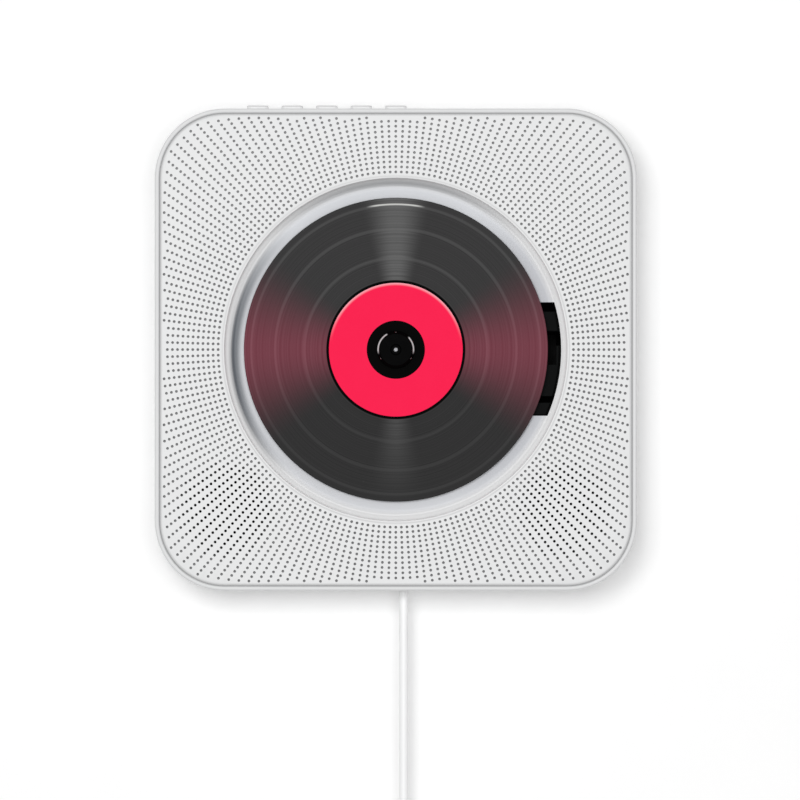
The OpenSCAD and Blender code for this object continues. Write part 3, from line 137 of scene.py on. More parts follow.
class Finish:
    """The node tree of one finish. Sockets take a number, a colour or a wire."""

    def __init__(self, name, owner=None):
        self.material = owner or bpy.data.materials.new(name)
        self.material.use_nodes = True
        self.tree = self.material.node_tree

    def feed(self, sockets, values):
        for key, value in values.items():
            if isinstance(value, Wire):
                self.tree.links.new(value.socket, sockets[key])
            elif isinstance(value, tuple) and len(value) < len(sockets[key].default_value):
                sockets[key].default_value = (*value, 1)
            else:
                sockets[key].default_value = value

    def node(self, kind, settings=None, inputs=None, output=0):
        made = self.tree.nodes.new("ShaderNode" + kind)
        for key, value in (settings or {}).items():
            setattr(made, key, value)
        self.feed(made.inputs, inputs or {})
        return Wire(self, made.outputs[output])

    def shade(self, **values):
        """Sets the main shader's sockets. An underscore in a name stands for a blank."""
        named = {key.replace("_", " "): value for key, value in values.items()}
        self.feed(self.tree.nodes["Principled BSDF"].inputs, named)
        return self

    def spot(self):
        return self.node("TexCoord", output="Object")

    def axes(self, wanted="XYZ"):
        """Places along the wanted axes, in metres."""
        spot = self.spot()
        return [self.node("SeparateXYZ", inputs={0: spot}, output=axis) for axis in wanted]

    def distance(self, one, other):
        """How far a point is from where its places along two axes are both 0."""
        return self.node("Math", {"operation": "SQRT"}, {0: one * one + other * other})

    def noise(self, period, detail=2.0, stretch=(1, 1, 1)):
        """Even noise from 0 to 1 whose blotches are about a period wide, longer along a stretch."""
        spot = self.node(
            "VectorMath", {"operation": "MULTIPLY"},
            {0: self.spot(), 1: tuple(1 / (period * s) for s in stretch)})
        return self.node("TexNoise", inputs={"Vector": spot, "Scale": 1, "Detail": detail})

    def blend(self, share, one, other):
        return self.node("Mix", {"data_type": "RGBA"}, {0: share, 6: one, 7: other}, 2)

    def bump(self, height, depth):
        """A normal bent by a height of 0 to 1 that stands for a depth in metres."""
        return self.node("Bump", inputs={"Height": height, "Distance": depth, "Strength": 1})

    def looked_at(self):
        """1 for what is seen straight, mirrored or through glass, and 0 for light that it gives."""
        seen, mirrored, through = [
            self.node("LightPath", output=f"Is {way} Ray") for way in ("Camera", "Glossy", "Transmission")]
        return seen.larger(mirrored).larger(through)


def dress(finish, *names):
    """Gives a finish to solids of the model, or to pieces made here."""
    for name in names:
        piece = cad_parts.get(name) or bpy.data.objects[name]
        if piece.material_slots:
            for holder in piece.material_slots:
                holder.material = finish.material
        else:
            piece.data.materials.append(finish.material)


def rounded_loop(half_x, half_y, corner_r, steps=6):
    """Points round a rectangle with rounded corners, as many whatever its size."""
    points = []
    for sx, sy, start in ((1, 1, 0), (-1, 1, 90), (-1, -1, 180), (1, -1, 270)):
        for step in range(steps + 1):
            a = math.radians(start + 90 * step / steps)
            points.append((sx * (half_x - corner_r) + corner_r * math.cos(a),
                           sy * (half_y - corner_r) + corner_r * math.sin(a)))
    return points


wall_half = 2.5
wall_y = 0.0002
wall_gap_half = 0.0880
wall_gap_r = 0.022
wall_loops = rounded_loop(wall_half, wall_half, wall_gap_r) + rounded_loop(
    wall_gap_half, wall_gap_half, wall_gap_r)
loop_size = len(wall_loops) // 2
wall_mesh = bpy.data.meshes.new("wall")
wall_mesh.from_pydata(
    [(x, wall_y, z) for x, z in wall_loops], [],
    [(i, (i + 1) % loop_size, (i + 1) % loop_size + loop_size, i + loop_size) for i in range(loop_size)])
wall = bpy.data.objects.new("wall", wall_mesh)
scene.collection.objects.link(wall)

wall_paint = Finish("wall_paint")
plaster = wall_paint.noise(0.02)
wall_paint.shade(
    Base_Color=wall_paint.blend(plaster, (0.97, 0.97, 0.97), (0.985, 0.985, 0.985)), Roughness=0.9,
    Specular_IOR_Level=0.1, Emission_Strength=0.09,
    Emission_Color=wall_paint.blend(wall_paint.looked_at(), (0, 0, 0), (1, 1, 1)))
seen_from_behind = wall_paint.node("NewGeometry", output="Backfacing")
clear = wall_paint.node("BsdfTransparent")
painted = Wire(wall_paint, wall_paint.tree.nodes["Principled BSDF"].outputs[0])
shown = wall_paint.node("MixShader", inputs={0: seen_from_behind, 1: painted, 2: clear})
wall_paint.tree.links.new(shown.socket, wall_paint.tree.nodes["Material Output"].inputs["Surface"])
dress(wall_paint, "wall")

room_light = 0.38
room = Finish("room", bpy.data.worlds.new("room"))
scene.world = room.material
room.feed(
    room.tree.nodes["Background"].inputs,
    {"Color": (1, 1, 1), "Strength": room_light + (1 - room_light) * room.looked_at()})

for name, place, size, power in (
    ("key_lamp", (-0.34, -2.45, 0.30), 0.6, 18),
    ("front_lamp", (0.10, -2.50, 0.05), 0.9, 18),
    ("back_lamp", (0.90, 2.20, 0.60), 1.0, 16),
):
    lamp_data = bpy.data.lights.new(name, "AREA")
    lamp_data.size = size
    lamp_data.energy = power
    lamp = bpy.data.objects.new(name, lamp_data)
    scene.collection.objects.link(lamp)
    lamp.location = place
    lamp.rotation_euler = (-Vector(place)).to_track_quat("-Z", "Y").to_euler()

# ---- Lead
# One round white sheathed lead, fixed in the plunger of the pull switch. It hangs straight, bends
# over into a coil of two layers, and ends in the plug. The coil is the spare length, put away.
cord_d = 0.0035
cord_x = 0.0031
cord_y = -0.020
drop_top = -0.094
drop_end = -0.176
bend_r = 4 * cord_d
coil_r = 0.030
coil_pitch = 0.004
coil_turns = 4
join_angle = math.acos(bend_r / (coil_r + bend_r))
bend_z = drop_end - cord_d
coil_z = bend_z - (coil_r + bend_r) * math.sin(join_angle)
layer_step = 0.004
crossing = 0.5
last_angle = -2 * math.pi * 2 * coil_turns
tail_end = -0.259


def coil_point(angle):
    """The centre line: a spiral inwards, half a turn that changes the layer, and one outwards."""
    inner_r = coil_r - coil_pitch * coil_turns
    turned = (join_angle - angle) / (2 * math.pi)
    beyond = turned - coil_turns
    if beyond < 0:
        radius = coil_r - coil_pitch * turned
    elif beyond < crossing:
        radius = inner_r - coil_pitch * min(beyond, crossing - beyond)
    else:
        radius = inner_r + coil_pitch * (beyond - crossing)
    depth = cord_y + layer_step * max(0, min(1, beyond / crossing))
    return (cord_x + radius * math.cos(angle), depth, coil_z + radius * math.sin(angle))


drop_steps = 14
bend_steps = 12
turn_steps = 60
lead_route = [
    (cord_x, cord_y, drop_top + (drop_end - drop_top) * i / drop_steps) for i in range(drop_steps + 1)]
for i in range(bend_steps):
    a = join_angle * i / bend_steps
    lead_route.append((cord_x + bend_r * (1 - math.cos(a)), cord_y, bend_z - bend_r * math.sin(a)))
coil_steps = round(turn_steps * (join_angle - last_angle) / (2 * math.pi))
for i in range(coil_steps + 1):
    lead_route.append(coil_point(join_angle + (last_angle - join_angle) * i / coil_steps))
tail_x, tail_y, tail_top = lead_route[-1]
tail_steps = 8
for i in range(1, tail_steps + 1):
    lead_route.append((tail_x, tail_y, tail_top + (tail_end - tail_top) * i / tail_steps))


def wire_piece(name, route, thickness):
    """A round wire or lead along a route, as a curve with capped ends."""
    line = bpy.data.curves.new(name, "CURVE")
    line.dimensions = "3D"
    line.bevel_depth = 1
    line.bevel_resolution = 5
    line.use_fill_caps = True
    run = line.splines.new("POLY")
    run.points.add(len(route) - 1)
    for point, place in zip(run.points, route):
        point.co = (*place, 1)
        point.radius = thickness / 2
    run.use_smooth = True
    piece = bpy.data.objects.new(name, line)
    scene.collection.objects.link(piece)
    return piece


lead = wire_piece("lead", lead_route, cord_d)
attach(lead, "pull")
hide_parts("cord_drop", "cord_coil", "cord_tail")


def moulding(name, low, high, roughness, grain, depth, **more):
    """A moulded plastic or rubber: clouds of two close colours and a fine eroded grain."""
    finish = Finish(name)
    clouds = finish.noise(0.012, 3)
    speck = finish.noise(grain)
    return finish.shade(
        Base_Color=finish.blend(clouds, low, high), Roughness=roughness - 0.05 + 0.1 * speck,
        Normal=finish.bump(speck, depth), **more)


lead_sheath = moulding(
    "lead_sheath", (0.945, 0.948, 0.95), (0.965, 0.967, 0.97), 0.42, 0.0009, 0.00002)
dress(lead_sheath, "lead", "cord_relief")

# ---- Band round the coil
# A woven hook and loop band, 6 mm wide, is wrapped round all the turns and pressed onto itself,
# so its end lies as a second layer on the front.
band_angle = math.radians(112)
band_w = 0.006
band_t = 0.001
band_inner = 0.012
band_outer = 0.032
band_half_h = 0.004
band_r = 0.0025
band_edge = 0.0003
arc_steps = 6
lap_start = band_inner + 0.006
lap_w = band_w * 0.96


def band_loop(grow):
    """The band's course round the turns, as (distance from the coil's axis, depth) points."""
    corners = []
    for cx, cy, start in (
        (band_outer - band_r, band_half_h - band_r, 0), (band_inner + band_r, band_half_h - band_r, 90),
        (band_inner + band_r, band_r - band_half_h, 180), (band_outer - band_r, band_r - band_half_h, 270),
    ):
        for step in range(arc_steps + 1):
            a = math.radians(start + 90 * step / arc_steps)
            r = band_r + grow
            corners.append((cx + r * math.cos(a), cy + r * math.sin(a)))
    return corners


def lap_course(grow):
    """The course of the band's loose end over the front of the turns."""
    front = [(x, y) for x, y in band_loop(grow) if y < -band_half_h * 0.3 and x > lap_start]
    return [(lap_start, -band_half_h - grow)] + front


def skin(mesh, rings, closed):
    """Covers rings of as many points each with faces, and caps them or joins the last to the first."""
    for one, other in list(zip(rings, rings[1:])) + ([(rings[-1], rings[0])] if closed else []):
        for i in range(len(one)):
            k = (i + 1) % len(one)
            mesh.faces.new((one[i], one[k], other[k], other[i]))
    if not closed:
        mesh.faces.new(rings[0][::-1])
        mesh.faces.new(rings[-1])


def piece_from(name, mesh):
    """Turns a finished bmesh into a smooth shaded piece whose real edges stay sharp."""
    bmesh.ops.recalc_face_normals(mesh, faces=mesh.faces)
    data = bpy.data.meshes.new(name)
    mesh.to_mesh(data)
    mesh.free()
    data.polygons.foreach_set("use_smooth", [True] * len(data.polygons))
    data.set_sharp_from_angle(angle=math.radians(40))
    piece = bpy.data.objects.new(name, data)
    scene.collection.objects.link(piece)
    return piece


def band_strip(name, inner_course, outer_course, width, closed):
    """A flat strip with softened edges between two courses, set at the band's angle."""
    along = Vector((math.cos(band_angle), 0, math.sin(band_angle)))
    across = Vector((-math.sin(band_angle), 0, math.cos(band_angle)))
    middle = Vector((cord_x, cord_y + layer_step / 2, coil_z))
    edge = band_edge / width
    mesh = bmesh.new()
    rings = []
    for near, far in zip(inner_course, outer_course):
        ring = []
        for side, share in (
            (-0.5, 0.3), (-0.5, 0.7), (-0.5 + edge, 1), (0.5 - edge, 1),
            (0.5, 0.7), (0.5, 0.3), (0.5 - edge, 0), (-0.5 + edge, 0),
        ):
            out = near[0] + (far[0] - near[0]) * share
            deep = near[1] + (far[1] - near[1]) * share
            ring.append(mesh.verts.new(middle + along * out + Vector((0, deep, 0)) + across * side * width))
        rings.append(ring)
    skin(mesh, rings, closed)
    return piece_from(name, mesh)


coil_band = band_strip("coil_band", band_loop(0), band_loop(band_t), band_w, True)
band_lap = band_strip("band_lap", lap_course(band_t * 0.98), lap_course(band_t * 1.8), lap_w, False)
for piece in (coil_band, band_lap):
    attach(piece, "pull")
    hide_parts("cord_tie")

woven_band = Finish("woven_band")
x, y, z = woven_band.axes()
thread = 0.00042
lengthwise = x * math.cos(band_angle) + z * math.sin(band_angle) + y
crosswise = z * math.cos(band_angle) - x * math.sin(band_angle)
weave = 0.5 + 0.5 * (lengthwise * (math.pi / thread)).sine() * (crosswise * (math.pi / thread)).sine()
woven_band.shade(
    Base_Color=woven_band.blend(weave, (0.62, 0.62, 0.615), (0.86, 0.86, 0.85)), Roughness=0.92,
    Normal=woven_band.bump(weave, 0.00012), Sheen_Weight=0.25)
dress(woven_band, "coil_band", "band_lap")

# ---- Plug
# The white grip is moulded over the lead's end. The nickel plated shell is folded from sheet and
# holds the white tongue with four flat contacts.
plug_grip = moulding("plug_grip", (0.82, 0.825, 0.83), (0.86, 0.862, 0.865), 0.38, 0.0006, 0.00002)
dress(plug_grip, "plug_body")


def metal(name, colour, roughness, grain, stretch=(1, 1, 1), depth=0.000004):
    """A bare metal with fine marks along the way that it was drawn, turned or rolled."""
    finish = Finish(name)
    marks = finish.noise(grain, 3, stretch)
    clouds = finish.noise(0.006)
    dark = tuple(0.82 * c for c in colour)
    return finish.shade(
        Base_Color=finish.blend(clouds, dark, colour), Metallic=1,
        Roughness=roughness - 0.06 + 0.12 * marks, Normal=finish.bump(marks, depth))


dress(metal("plug_nickel", (0.74, 0.745, 0.75), 0.28, 0.0003, (1, 1, 12)), "plug_shell")
tongue = Finish("plug_tongue")
x, y, z = tongue.axes()
contact_top = -0.289
contact_y = -0.0159
contact_pitch = 0.0025
contact_share = 0.42
contact = (((x - tail_x) / contact_pitch).repeat().band(0, contact_share, 0.03)
           * (1 - z.step(contact_top, 0.0002)) * y.band(contact_y, 0.0006, 0.0001))
tongue.shade(
    Base_Color=tongue.blend(contact, (0.80, 0.80, 0.78), (0.95, 0.72, 0.35)), Metallic=contact,
    Roughness=0.45 - 0.15 * contact, Normal=tongue.bump(tongue.noise(0.0005) + contact, 0.00002))
dress(tongue, "plug_tongue")

# ---- Wall bracket
# A zinc plated steel plate that is screwed to the wall through four holes. Two hooks are lanced
# out of it, and the body hangs on them.
bracket_zinc = Finish("bracket_zinc")
crystals_per_metre = 420
crystals = bracket_zinc.node(
    "TexVoronoi", inputs={"Vector": bracket_zinc.spot(), "Scale": crystals_per_metre}, output="Color")
tone = bracket_zinc.node("SeparateColor", inputs={0: crystals})
scratches = bracket_zinc.noise(0.0004, 3, (14, 1, 1))
bracket_zinc.shade(
    Base_Color=bracket_zinc.blend(tone, (0.55, 0.56, 0.58), (0.61, 0.62, 0.63)), Metallic=1,
    Roughness=0.38 + 0.05 * tone + 0.08 * scratches, Normal=bracket_zinc.bump(scratches, 0.000006))
dress(bracket_zinc, "wall_bracket")

# ---- Rear housing
# The white back and side walls are one moulding, with the recess for the bracket, and end in the
# thin rim that frames the front. Plated screws from the back hold it to the cover. Its inside
# behind the opening beside the disc is painted near black as painted shade.
# Where the inside is painted near black: painted shade seen through the opening.
shade_patch_left = 0.0420
shade_patch_right = 0.0900
shade_patch_half_h = 0.045
shade_patch_front = -0.030
shade_patch_back = -0.0036
shell_whites = ((0.715, 0.72, 0.725), (0.74, 0.743, 0.745))
housing_white_and_shade = Finish("housing_white_and_shade")
x, y, z = housing_white_and_shade.axes()
clouds = housing_white_and_shade.noise(0.012, 3)
speck = housing_white_and_shade.noise(0.00035)
# Painted shade: a near black patch on the inside behind the opening.
painted_shade_patch = (x.within(shade_patch_left, shade_patch_right, 0.0002) * z.within(-shade_patch_half_h, shade_patch_half_h, 0.0002)
        * y.within(shade_patch_front, shade_patch_back, 0.0001))
white = housing_white_and_shade.blend(clouds, *shell_whites)
housing_white_and_shade.shade(
    Base_Color=housing_white_and_shade.blend(painted_shade_patch, white, (0.004, 0.004, 0.004)),
    Roughness=0.37 + 0.1 * speck + 0.5 * painted_shade_patch, Normal=housing_white_and_shade.bump(speck, 0.000012))
dress(housing_white_and_shade, "rear_housing")
screw_plating = metal("screw_plating", (0.60, 0.60, 0.62), 0.3, 0.0002, (1, 8, 1))
dress(screw_plating, "housing_screws", "deck_screws")

# ---- Feet
# Soft grey rubber buttons, glued into shallow seats in the back, keep the body off the wall and
# stop it from sliding.
foot_rubber = moulding("foot_rubber", (0.42, 0.43, 0.44), (0.50, 0.51, 0.52), 0.8, 0.0003, 0.00003)
dress(foot_rubber, "rubber_feet")

# ---- Keys
# Five white moulded caps with a soft edge stand up through the top wall, and a flange below keeps
# them in. Each presses the black plunger of a metal topped switch on the button board.
key_w = 0.0085
key_l = 0.013
key_corner_r = 0.0015
key_edge_r = 0.00055
key_dish = 0.00008
key_stem_half = 0.002
key_stem_r = 0.0003
flange_rim = 0.0012
flange_top = 0.0929
flange_t = 0.001
edge_steps = 6
# Height above which the caps carry painted shade.
key_top_shade_z = 0.0964
switch_sheet_z = 0.0843


def stacked_piece(name, loops, closed=False):
    """A solid through a pile of loops with as many points each, capped, or joined end to end."""
    mesh = bmesh.new()
    skin(mesh, [[mesh.verts.new(point) for point in loop] for loop in loops], closed)
    return piece_from(name, mesh)


key_names = []
for number in range(1, 6):
    node = f"top_button_{number}"
    low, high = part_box(node)
    key_x = (low.x + high.x) / 2
    key_y = (low.y + high.y) / 2
    profile = [
        (key_stem_half, key_stem_half, key_stem_r, low.z),
        (key_stem_half, key_stem_half, key_stem_r, flange_top - flange_t),
        (key_w / 2 + flange_rim, key_l / 2 + flange_rim, key_corner_r, flange_top - flange_t),
        (key_w / 2 + flange_rim, key_l / 2 + flange_rim, key_corner_r, flange_top),
        (key_w / 2, key_l / 2, key_corner_r, flange_top)]
    for step in range(edge_steps + 1):
        a = math.radians(90 * step / edge_steps)
        inset = key_edge_r * (1 - math.cos(a))
        profile.append((key_w / 2 - inset, key_l / 2 - inset, key_corner_r - inset,
                        high.z - key_edge_r * (1 - math.sin(a))))
    for share in (0.5, 0.85):
        inset = key_edge_r + share * (key_w / 2 - key_edge_r)
        profile.append((key_w / 2 - inset, key_l / 2 - inset, key_corner_r * (1 - share) * 0.5,
                        high.z - key_dish * share))
    key = stacked_piece(f"key_{number}", [
        [(key_x + px, key_y + py, z) for px, py in rounded_loop(half_x, half_y, corner)]
        for half_x, half_y, corner, z in profile])
    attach(key, f"button_{number}")
    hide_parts(node)
    key_names.append(key.name)
key_cap_and_shade = Finish("key_cap_and_shade")
speck = key_cap_and_shade.noise(0.0005)
# Painted shade: the caps' tops are darker grey, where they face up away from the lamps.
key_top_shade = key_cap_and_shade.axes("Z")[0].step(key_top_shade_z, 0.0003) * (0.8 + 0.4 * key_cap_and_shade.noise(0.002))
key_cap_and_shade.shade(
    Base_Color=key_cap_and_shade.blend(key_top_shade, (0.83, 0.833, 0.836), (0.62, 0.62, 0.62)),
    Roughness=0.44 + 0.08 * speck, Normal=key_cap_and_shade.bump(speck, 0.000008))
dress(key_cap_and_shade, *key_names)
black_part = moulding("black_part", (0.018, 0.018, 0.02), (0.03, 0.03, 0.032), 0.45, 0.0003, 0.00001)
dress(black_part, *[f"switch_plunger_{i}" for i in range(1, 6)], "pull_plunger")
switch_case = Finish("switch_case")
sheet_top = switch_case.axes("Z")[0].step(switch_sheet_z, 0.0001)
speck = switch_case.noise(0.0004)
switch_case.shade(
    Base_Color=switch_case.blend(sheet_top, (0.02, 0.02, 0.022), (0.66, 0.66, 0.67)),
    Metallic=sheet_top, Roughness=0.4 + 0.1 * speck, Normal=switch_case.bump(speck, 0.00001))
dress(switch_case, "tact_switches")

# ---- Boards
# Green lacquered glass fibre boards with copper tracks under the lacquer and tinned pads. The
# button board hangs below the keys, and the main board stands on posts beside the pull switch.
track_pitch = 0.0016
track_shift = 0.004
pad_pitch = 0.00508
can_left = -0.0295
can_right = -0.0145
can_top = -0.0635
can_lid_y = -0.0155


def circuit_board(name, plane):
    """Lacquer over tracks that run in stepped lanes, and a square grid of round pads."""
    finish = Finish(name)
    one, other = finish.axes(plane)
    steps = finish.noise(0.011, 0)
    lane = ((one + track_shift * steps) / track_pitch).repeat()
    track = lane.band(0, 0.42, 0.08) * steps.step(0.47, 0.02)
    from_pad = finish.distance((one / pad_pitch).repeat(), (other / pad_pitch).repeat())
    pad = 1 - from_pad.step(0.15, 0.03)
    lacquer = finish.blend(track, (0.012, 0.11, 0.045), (0.03, 0.21, 0.085))
    return finish.shade(
        Base_Color=finish.blend(pad, lacquer, (0.72, 0.70, 0.66)), Metallic=pad,
        Roughness=0.32 + 0.1 * finish.noise(0.0006), Normal=finish.bump(track + 2 * pad, 0.00002))


dress(circuit_board("button_board_lacquer", "XY"), "button_board")
dress(circuit_board("main_board_lacquer", "XZ"), "main_board")
board_part = Finish("board_part")
x, y, z = board_part.axes()
lid = x.within(can_left, can_right, 0.0001) * (1 - z.step(can_top, 0.0001)) * (1 - y.step(can_lid_y, 0.0001))
speck = board_part.noise(0.0003)
board_part.shade(
    Base_Color=board_part.blend(lid, (0.02, 0.02, 0.023), (0.68, 0.68, 0.69)), Metallic=lid,
    Roughness=0.42 + 0.12 * speck, Normal=board_part.bump(speck, 0.00001))
dress(board_part, "board_parts")
small_screws = metal("small_screws", (0.58, 0.58, 0.60), 0.3, 0.0002, (1, 1, 6))
dress(small_screws, "board_screws", "button_board_screws")

# ---- Pull switch
# A steel wire spring pushes the plunger up in its black moulded guide tube. Pulling the lead
# presses the spring together and lets go of the switch above.
spring_r = 0.00395
spring_wire = 0.0007
spring_foot = -0.0932
spring_h = 0.009
spring_turns = 6
spring_step = 40
spring_points = spring_turns * spring_step
spring_route = []
for i in range(spring_points + 1):
    a = 2 * math.pi * i / spring_step
    height = spring_foot + spring_wire / 2 + (spring_h - spring_wire) * i / spring_points
    spring_route.append((cord_x + spring_r * math.cos(a), cord_y - spring_r * math.sin(a), height))


def settled_mesh(piece):
    """The mesh that a curve, or a piece with modifiers, ends up as."""
    return bpy.data.meshes.new_from_object(piece.evaluated_get(bpy.context.evaluated_depsgraph_get()))


spring_line = wire_piece("spring_line", spring_route, spring_wire)
spring = bpy.data.objects.new("return_spring", settled_mesh(spring_line))
bpy.data.objects.remove(spring_line)
scene.collection.objects.link(spring)
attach(spring, "player")
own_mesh(spring)
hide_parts("pull_spring")
dress(metal("spring_wire", (0.66, 0.66, 0.68), 0.24, 0.0002, (1, 1, 3)), "return_spring")
switch_black = moulding("switch_black", (0.02, 0.02, 0.022), (0.032, 0.032, 0.034), 0.5, 0.0004, 0.00002)
dress(switch_black, "pull_switch")

# ---- Speakers
# Black painted pressed steel baskets behind the lower corners of the front, with a sintered
# magnet each and a cone of black pressed pulp with a rolled edge.
cone_edge_r = 0.0137
cone_rib_pitch = 0.0021
basket_paint = moulding("basket_paint", (0.012, 0.012, 0.013), (0.02, 0.02, 0.021), 0.5, 0.0005, 0.00003)
dress(basket_paint, "speaker_frames")
sintered_magnet = moulding(
    "sintered_magnet", (0.07, 0.07, 0.075), (0.12, 0.12, 0.125), 0.65, 0.0002, 0.00003)
dress(sintered_magnet, "speaker_magnets")
for name in ("speaker_cone_left", "speaker_cone_right"):
    pulp = Finish(name + "_pulp")
    low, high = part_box(name)
    x, z = pulp.axes("XZ")
    radius = pulp.distance(x - (low.x + high.x) / 2, z - (low.z + high.z) / 2)
    edge = radius.step(cone_edge_r, 0.0002)
    fibres = pulp.noise(0.0006, 4)
    ribs = (radius * (2 * math.pi / cone_rib_pitch)).sine() * (1 - edge)
    pulp.shade(
        Base_Color=pulp.blend(fibres, (0.012, 0.012, 0.012), (0.03, 0.03, 0.03)),
        Roughness=0.9 - 0.35 * edge, Normal=pulp.bump(fibres + 0.4 * ribs, 0.00008))
    dress(pulp, name)

# ---- Deck
# The black moulded deck carries both motors, the rods and the sled. It floats on four rubber
# dampers with shoulder screws. Its ribbed end shows beside the disc, with three bands of painted
# shade on it, darker and matt.
deck_end_x = 0.055
# Places of the three bands of painted shade on the deck's end.
shade_band_spans = ((0.0168, 0.0032), (0.0045, 0.0056), (-0.0196, 0.0026))
deck_black = Finish("deck_black")
x, z = deck_black.axes("XZ")
speck = deck_black.noise(0.0004)
# Painted shade: darker matt bands across the deck's ribbed end.
painted_shade_bands = x.step(deck_end_x, 0.001) * sum(z.band(middle, width, 0.0004) for middle, width in shade_band_spans)
deck_tone = deck_black.blend(
    deck_black.noise(0.012, 3), (0.0055, 0.006, 0.006), (0.0075, 0.0078, 0.0078))
deck_black.shade(
    Base_Color=deck_black.blend(painted_shade_bands, deck_tone, (0.0002, 0.0002, 0.0002)),
    Roughness=0.5 + 0.1 * speck + 0.3 * painted_shade_bands, Specular_IOR_Level=0.01,
    Normal=deck_black.bump(speck, 0.00002))
dress(deck_black, "traverse_deck")
damper_rubber = moulding("damper_rubber", (0.01, 0.01, 0.01), (0.016, 0.016, 0.016), 0.85, 0.0003, 0.00003)
dress(damper_rubber, "deck_dampers")
dress(metal("motor_can", (0.62, 0.62, 0.63), 0.3, 0.0003, (1, 10, 1)), "spindle_motor", "sled_motor")
ground_steel = metal("ground_steel", (0.72, 0.72, 0.74), 0.16, 0.0002, (10, 10, 1))
dress(ground_steel, "sled_motor_shaft", "guide_rods", "idler_axle")
dress(metal("spindle_steel", (0.05, 0.05, 0.053), 0.25, 0.0002), "spindle_shaft")

# ---- Sled and gears
# The black sled slides on two steel rods and carries the lens in its sprung holder. A rack along
# its side runs on a two step ivory wheel, which the pinion of the small motor drives.
lens_x = 0.026
coating_r = 0.0012
sled_black = moulding("sled_black", (0.006, 0.006, 0.007), (0.012, 0.012, 0.013), 0.5, 0.0004, 0.00002)
dress(sled_black, "pickup_sled")
gear_nylon = moulding(
    "gear_nylon", (0.74, 0.71, 0.62), (0.80, 0.77, 0.68), 0.4, 0.0005, 0.00001, Subsurface_Weight=0.1,
    Subsurface_Scale=0.001)
dress(gear_nylon, "idler_gear", "motor_pinion")
holder_black = moulding("holder_black", (0.004, 0.004, 0.005), (0.008, 0.008, 0.009), 0.4, 0.0003, 0.00001)
dress(holder_black, "lens_holder")
lens_glass = Finish("lens_glass")
x, z = lens_glass.axes("XZ")
coating = lens_glass.distance(x - lens_x, z).step(coating_r, 0.001)
lens_glass.shade(
    Base_Color=lens_glass.blend(coating, (0.55, 0.62, 0.95), (0.80, 0.72, 0.98)),
    Transmission_Weight=1.0, Roughness=0.02 + 0.02 * lens_glass.noise(0.001), IOR=1.52)
dress(lens_glass, "objective_lens")

# ---- Turntable
# A black turned hub centres the disc and holds it with three sprung steel balls. The disc lies on
# a ring of rubber on the platter. A painted highlight lies on the hub's edge to the left and the
# right. The shaft's end shows in the middle.
hub_groove_pitch = 0.00022
# Where the painted highlight lies on the hub's edge.
hub_glint_r = 0.0070
hub_glint_w = 0.0005
hub_glint_shift = 0.0008
hub_glint_low = -0.001
hub_black = Finish("hub_black")
x, z = hub_black.axes("XZ")
radius = hub_black.distance(x, z)
turned = (radius * (2 * math.pi / hub_groove_pitch)).sine()
sideways = (abs(x - hub_glint_shift) / radius).step(0.61, 0.08)
# Painted highlight: pale arcs on the hub's edge to the left and right.
painted_hub_glint = radius.band(hub_glint_r, hub_glint_w, 0.0003) * sideways * z.step(hub_glint_low, 0.002)
hub_tone = hub_black.blend(hub_black.noise(0.002), (0.0005, 0.0005, 0.0006), (0.0015, 0.0015, 0.0017))
hub_black.shade(
    Base_Color=hub_black.blend(0.9 * painted_hub_glint, hub_tone, (0.75, 0.75, 0.76)),
    Roughness=0.42 + 0.08 * hub_black.noise(0.0006), Specular_IOR_Level=0.01,
    Normal=hub_black.bump(turned, 0.0000012))
dress(hub_black, "turntable_hub")
pad_rubber = moulding("pad_rubber", (0.02, 0.02, 0.02), (0.03, 0.03, 0.03), 0.85, 0.0003, 0.00002)
dress(pad_rubber, "turntable_pad")
dress(metal("ball_steel", (0.22, 0.22, 0.225), 0.12, 0.0004), *[f"hub_ball_{i}" for i in range(1, 4)])

# ---- Front cover
# One white moulding with the dished well, set into the rim. Its round holes lie on 200 lines from
# the spindle and on rings 2 mm apart, through over the speakers and blind elsewhere. Painted shade
# lies in the well at its left and its top, where it turns away from the light, and a grey-blue
# painted shade on the well's floor. The floors of the blind holes are painted dark as shade.
cover_w = 0.1856
cover_corner_r = 0.0253
hole_d = 0.0011
spokes = 200
ring_count = 25
ring_step = 0.002
first_ring_r = 0.070
edge_margin = 0.0013
hole_sides = 12
hole_depth = 0.0017
over_face = 0.0004
speaker_x = 0.06699
speaker_z = -0.06349
speaker_r = 0.01996
weld_gap = 0.000001


def on_panel(x, z):
    """True for a point that lies inside the cover's outline by the margin."""
    beyond_x = abs(x) - cover_w / 2 + cover_corner_r
    beyond_z = abs(z) - cover_w / 2 + cover_corner_r
    if min(beyond_x, beyond_z) > 0:
        return math.hypot(beyond_x, beyond_z) < cover_corner_r - edge_margin
    return max(beyond_x, beyond_z) < cover_corner_r - edge_margin


def over_speaker(x, z):
    """True for a hole over a speaker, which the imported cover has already."""
    return math.hypot(abs(x) - speaker_x, z - speaker_z) < speaker_r - hole_d / 2


hole_turns = [2 * math.pi * i / hole_sides for i in range(hole_sides)]
hole_rim = [(hole_d / 2 * math.cos(a), hole_d / 2 * math.sin(a)) for a in hole_turns]
drill = bmesh.new()
for ring in range(ring_count):
    for spoke in range(spokes):
        r = first_ring_r + ring_step * ring
        a = 2 * math.pi * spoke / spokes
        hole_x = r * math.cos(a)
        hole_z = r * math.sin(a)
        if on_panel(hole_x, hole_z) and not over_speaker(hole_x, hole_z):
            ends = [[drill.verts.new((hole_x + side, depth, hole_z + rise)) for side, rise in hole_rim]
                    for depth in (-body_d - over_face, hole_depth - body_d)]
            skin(drill, ends, False)
drill_piece = piece_from("drill", drill)

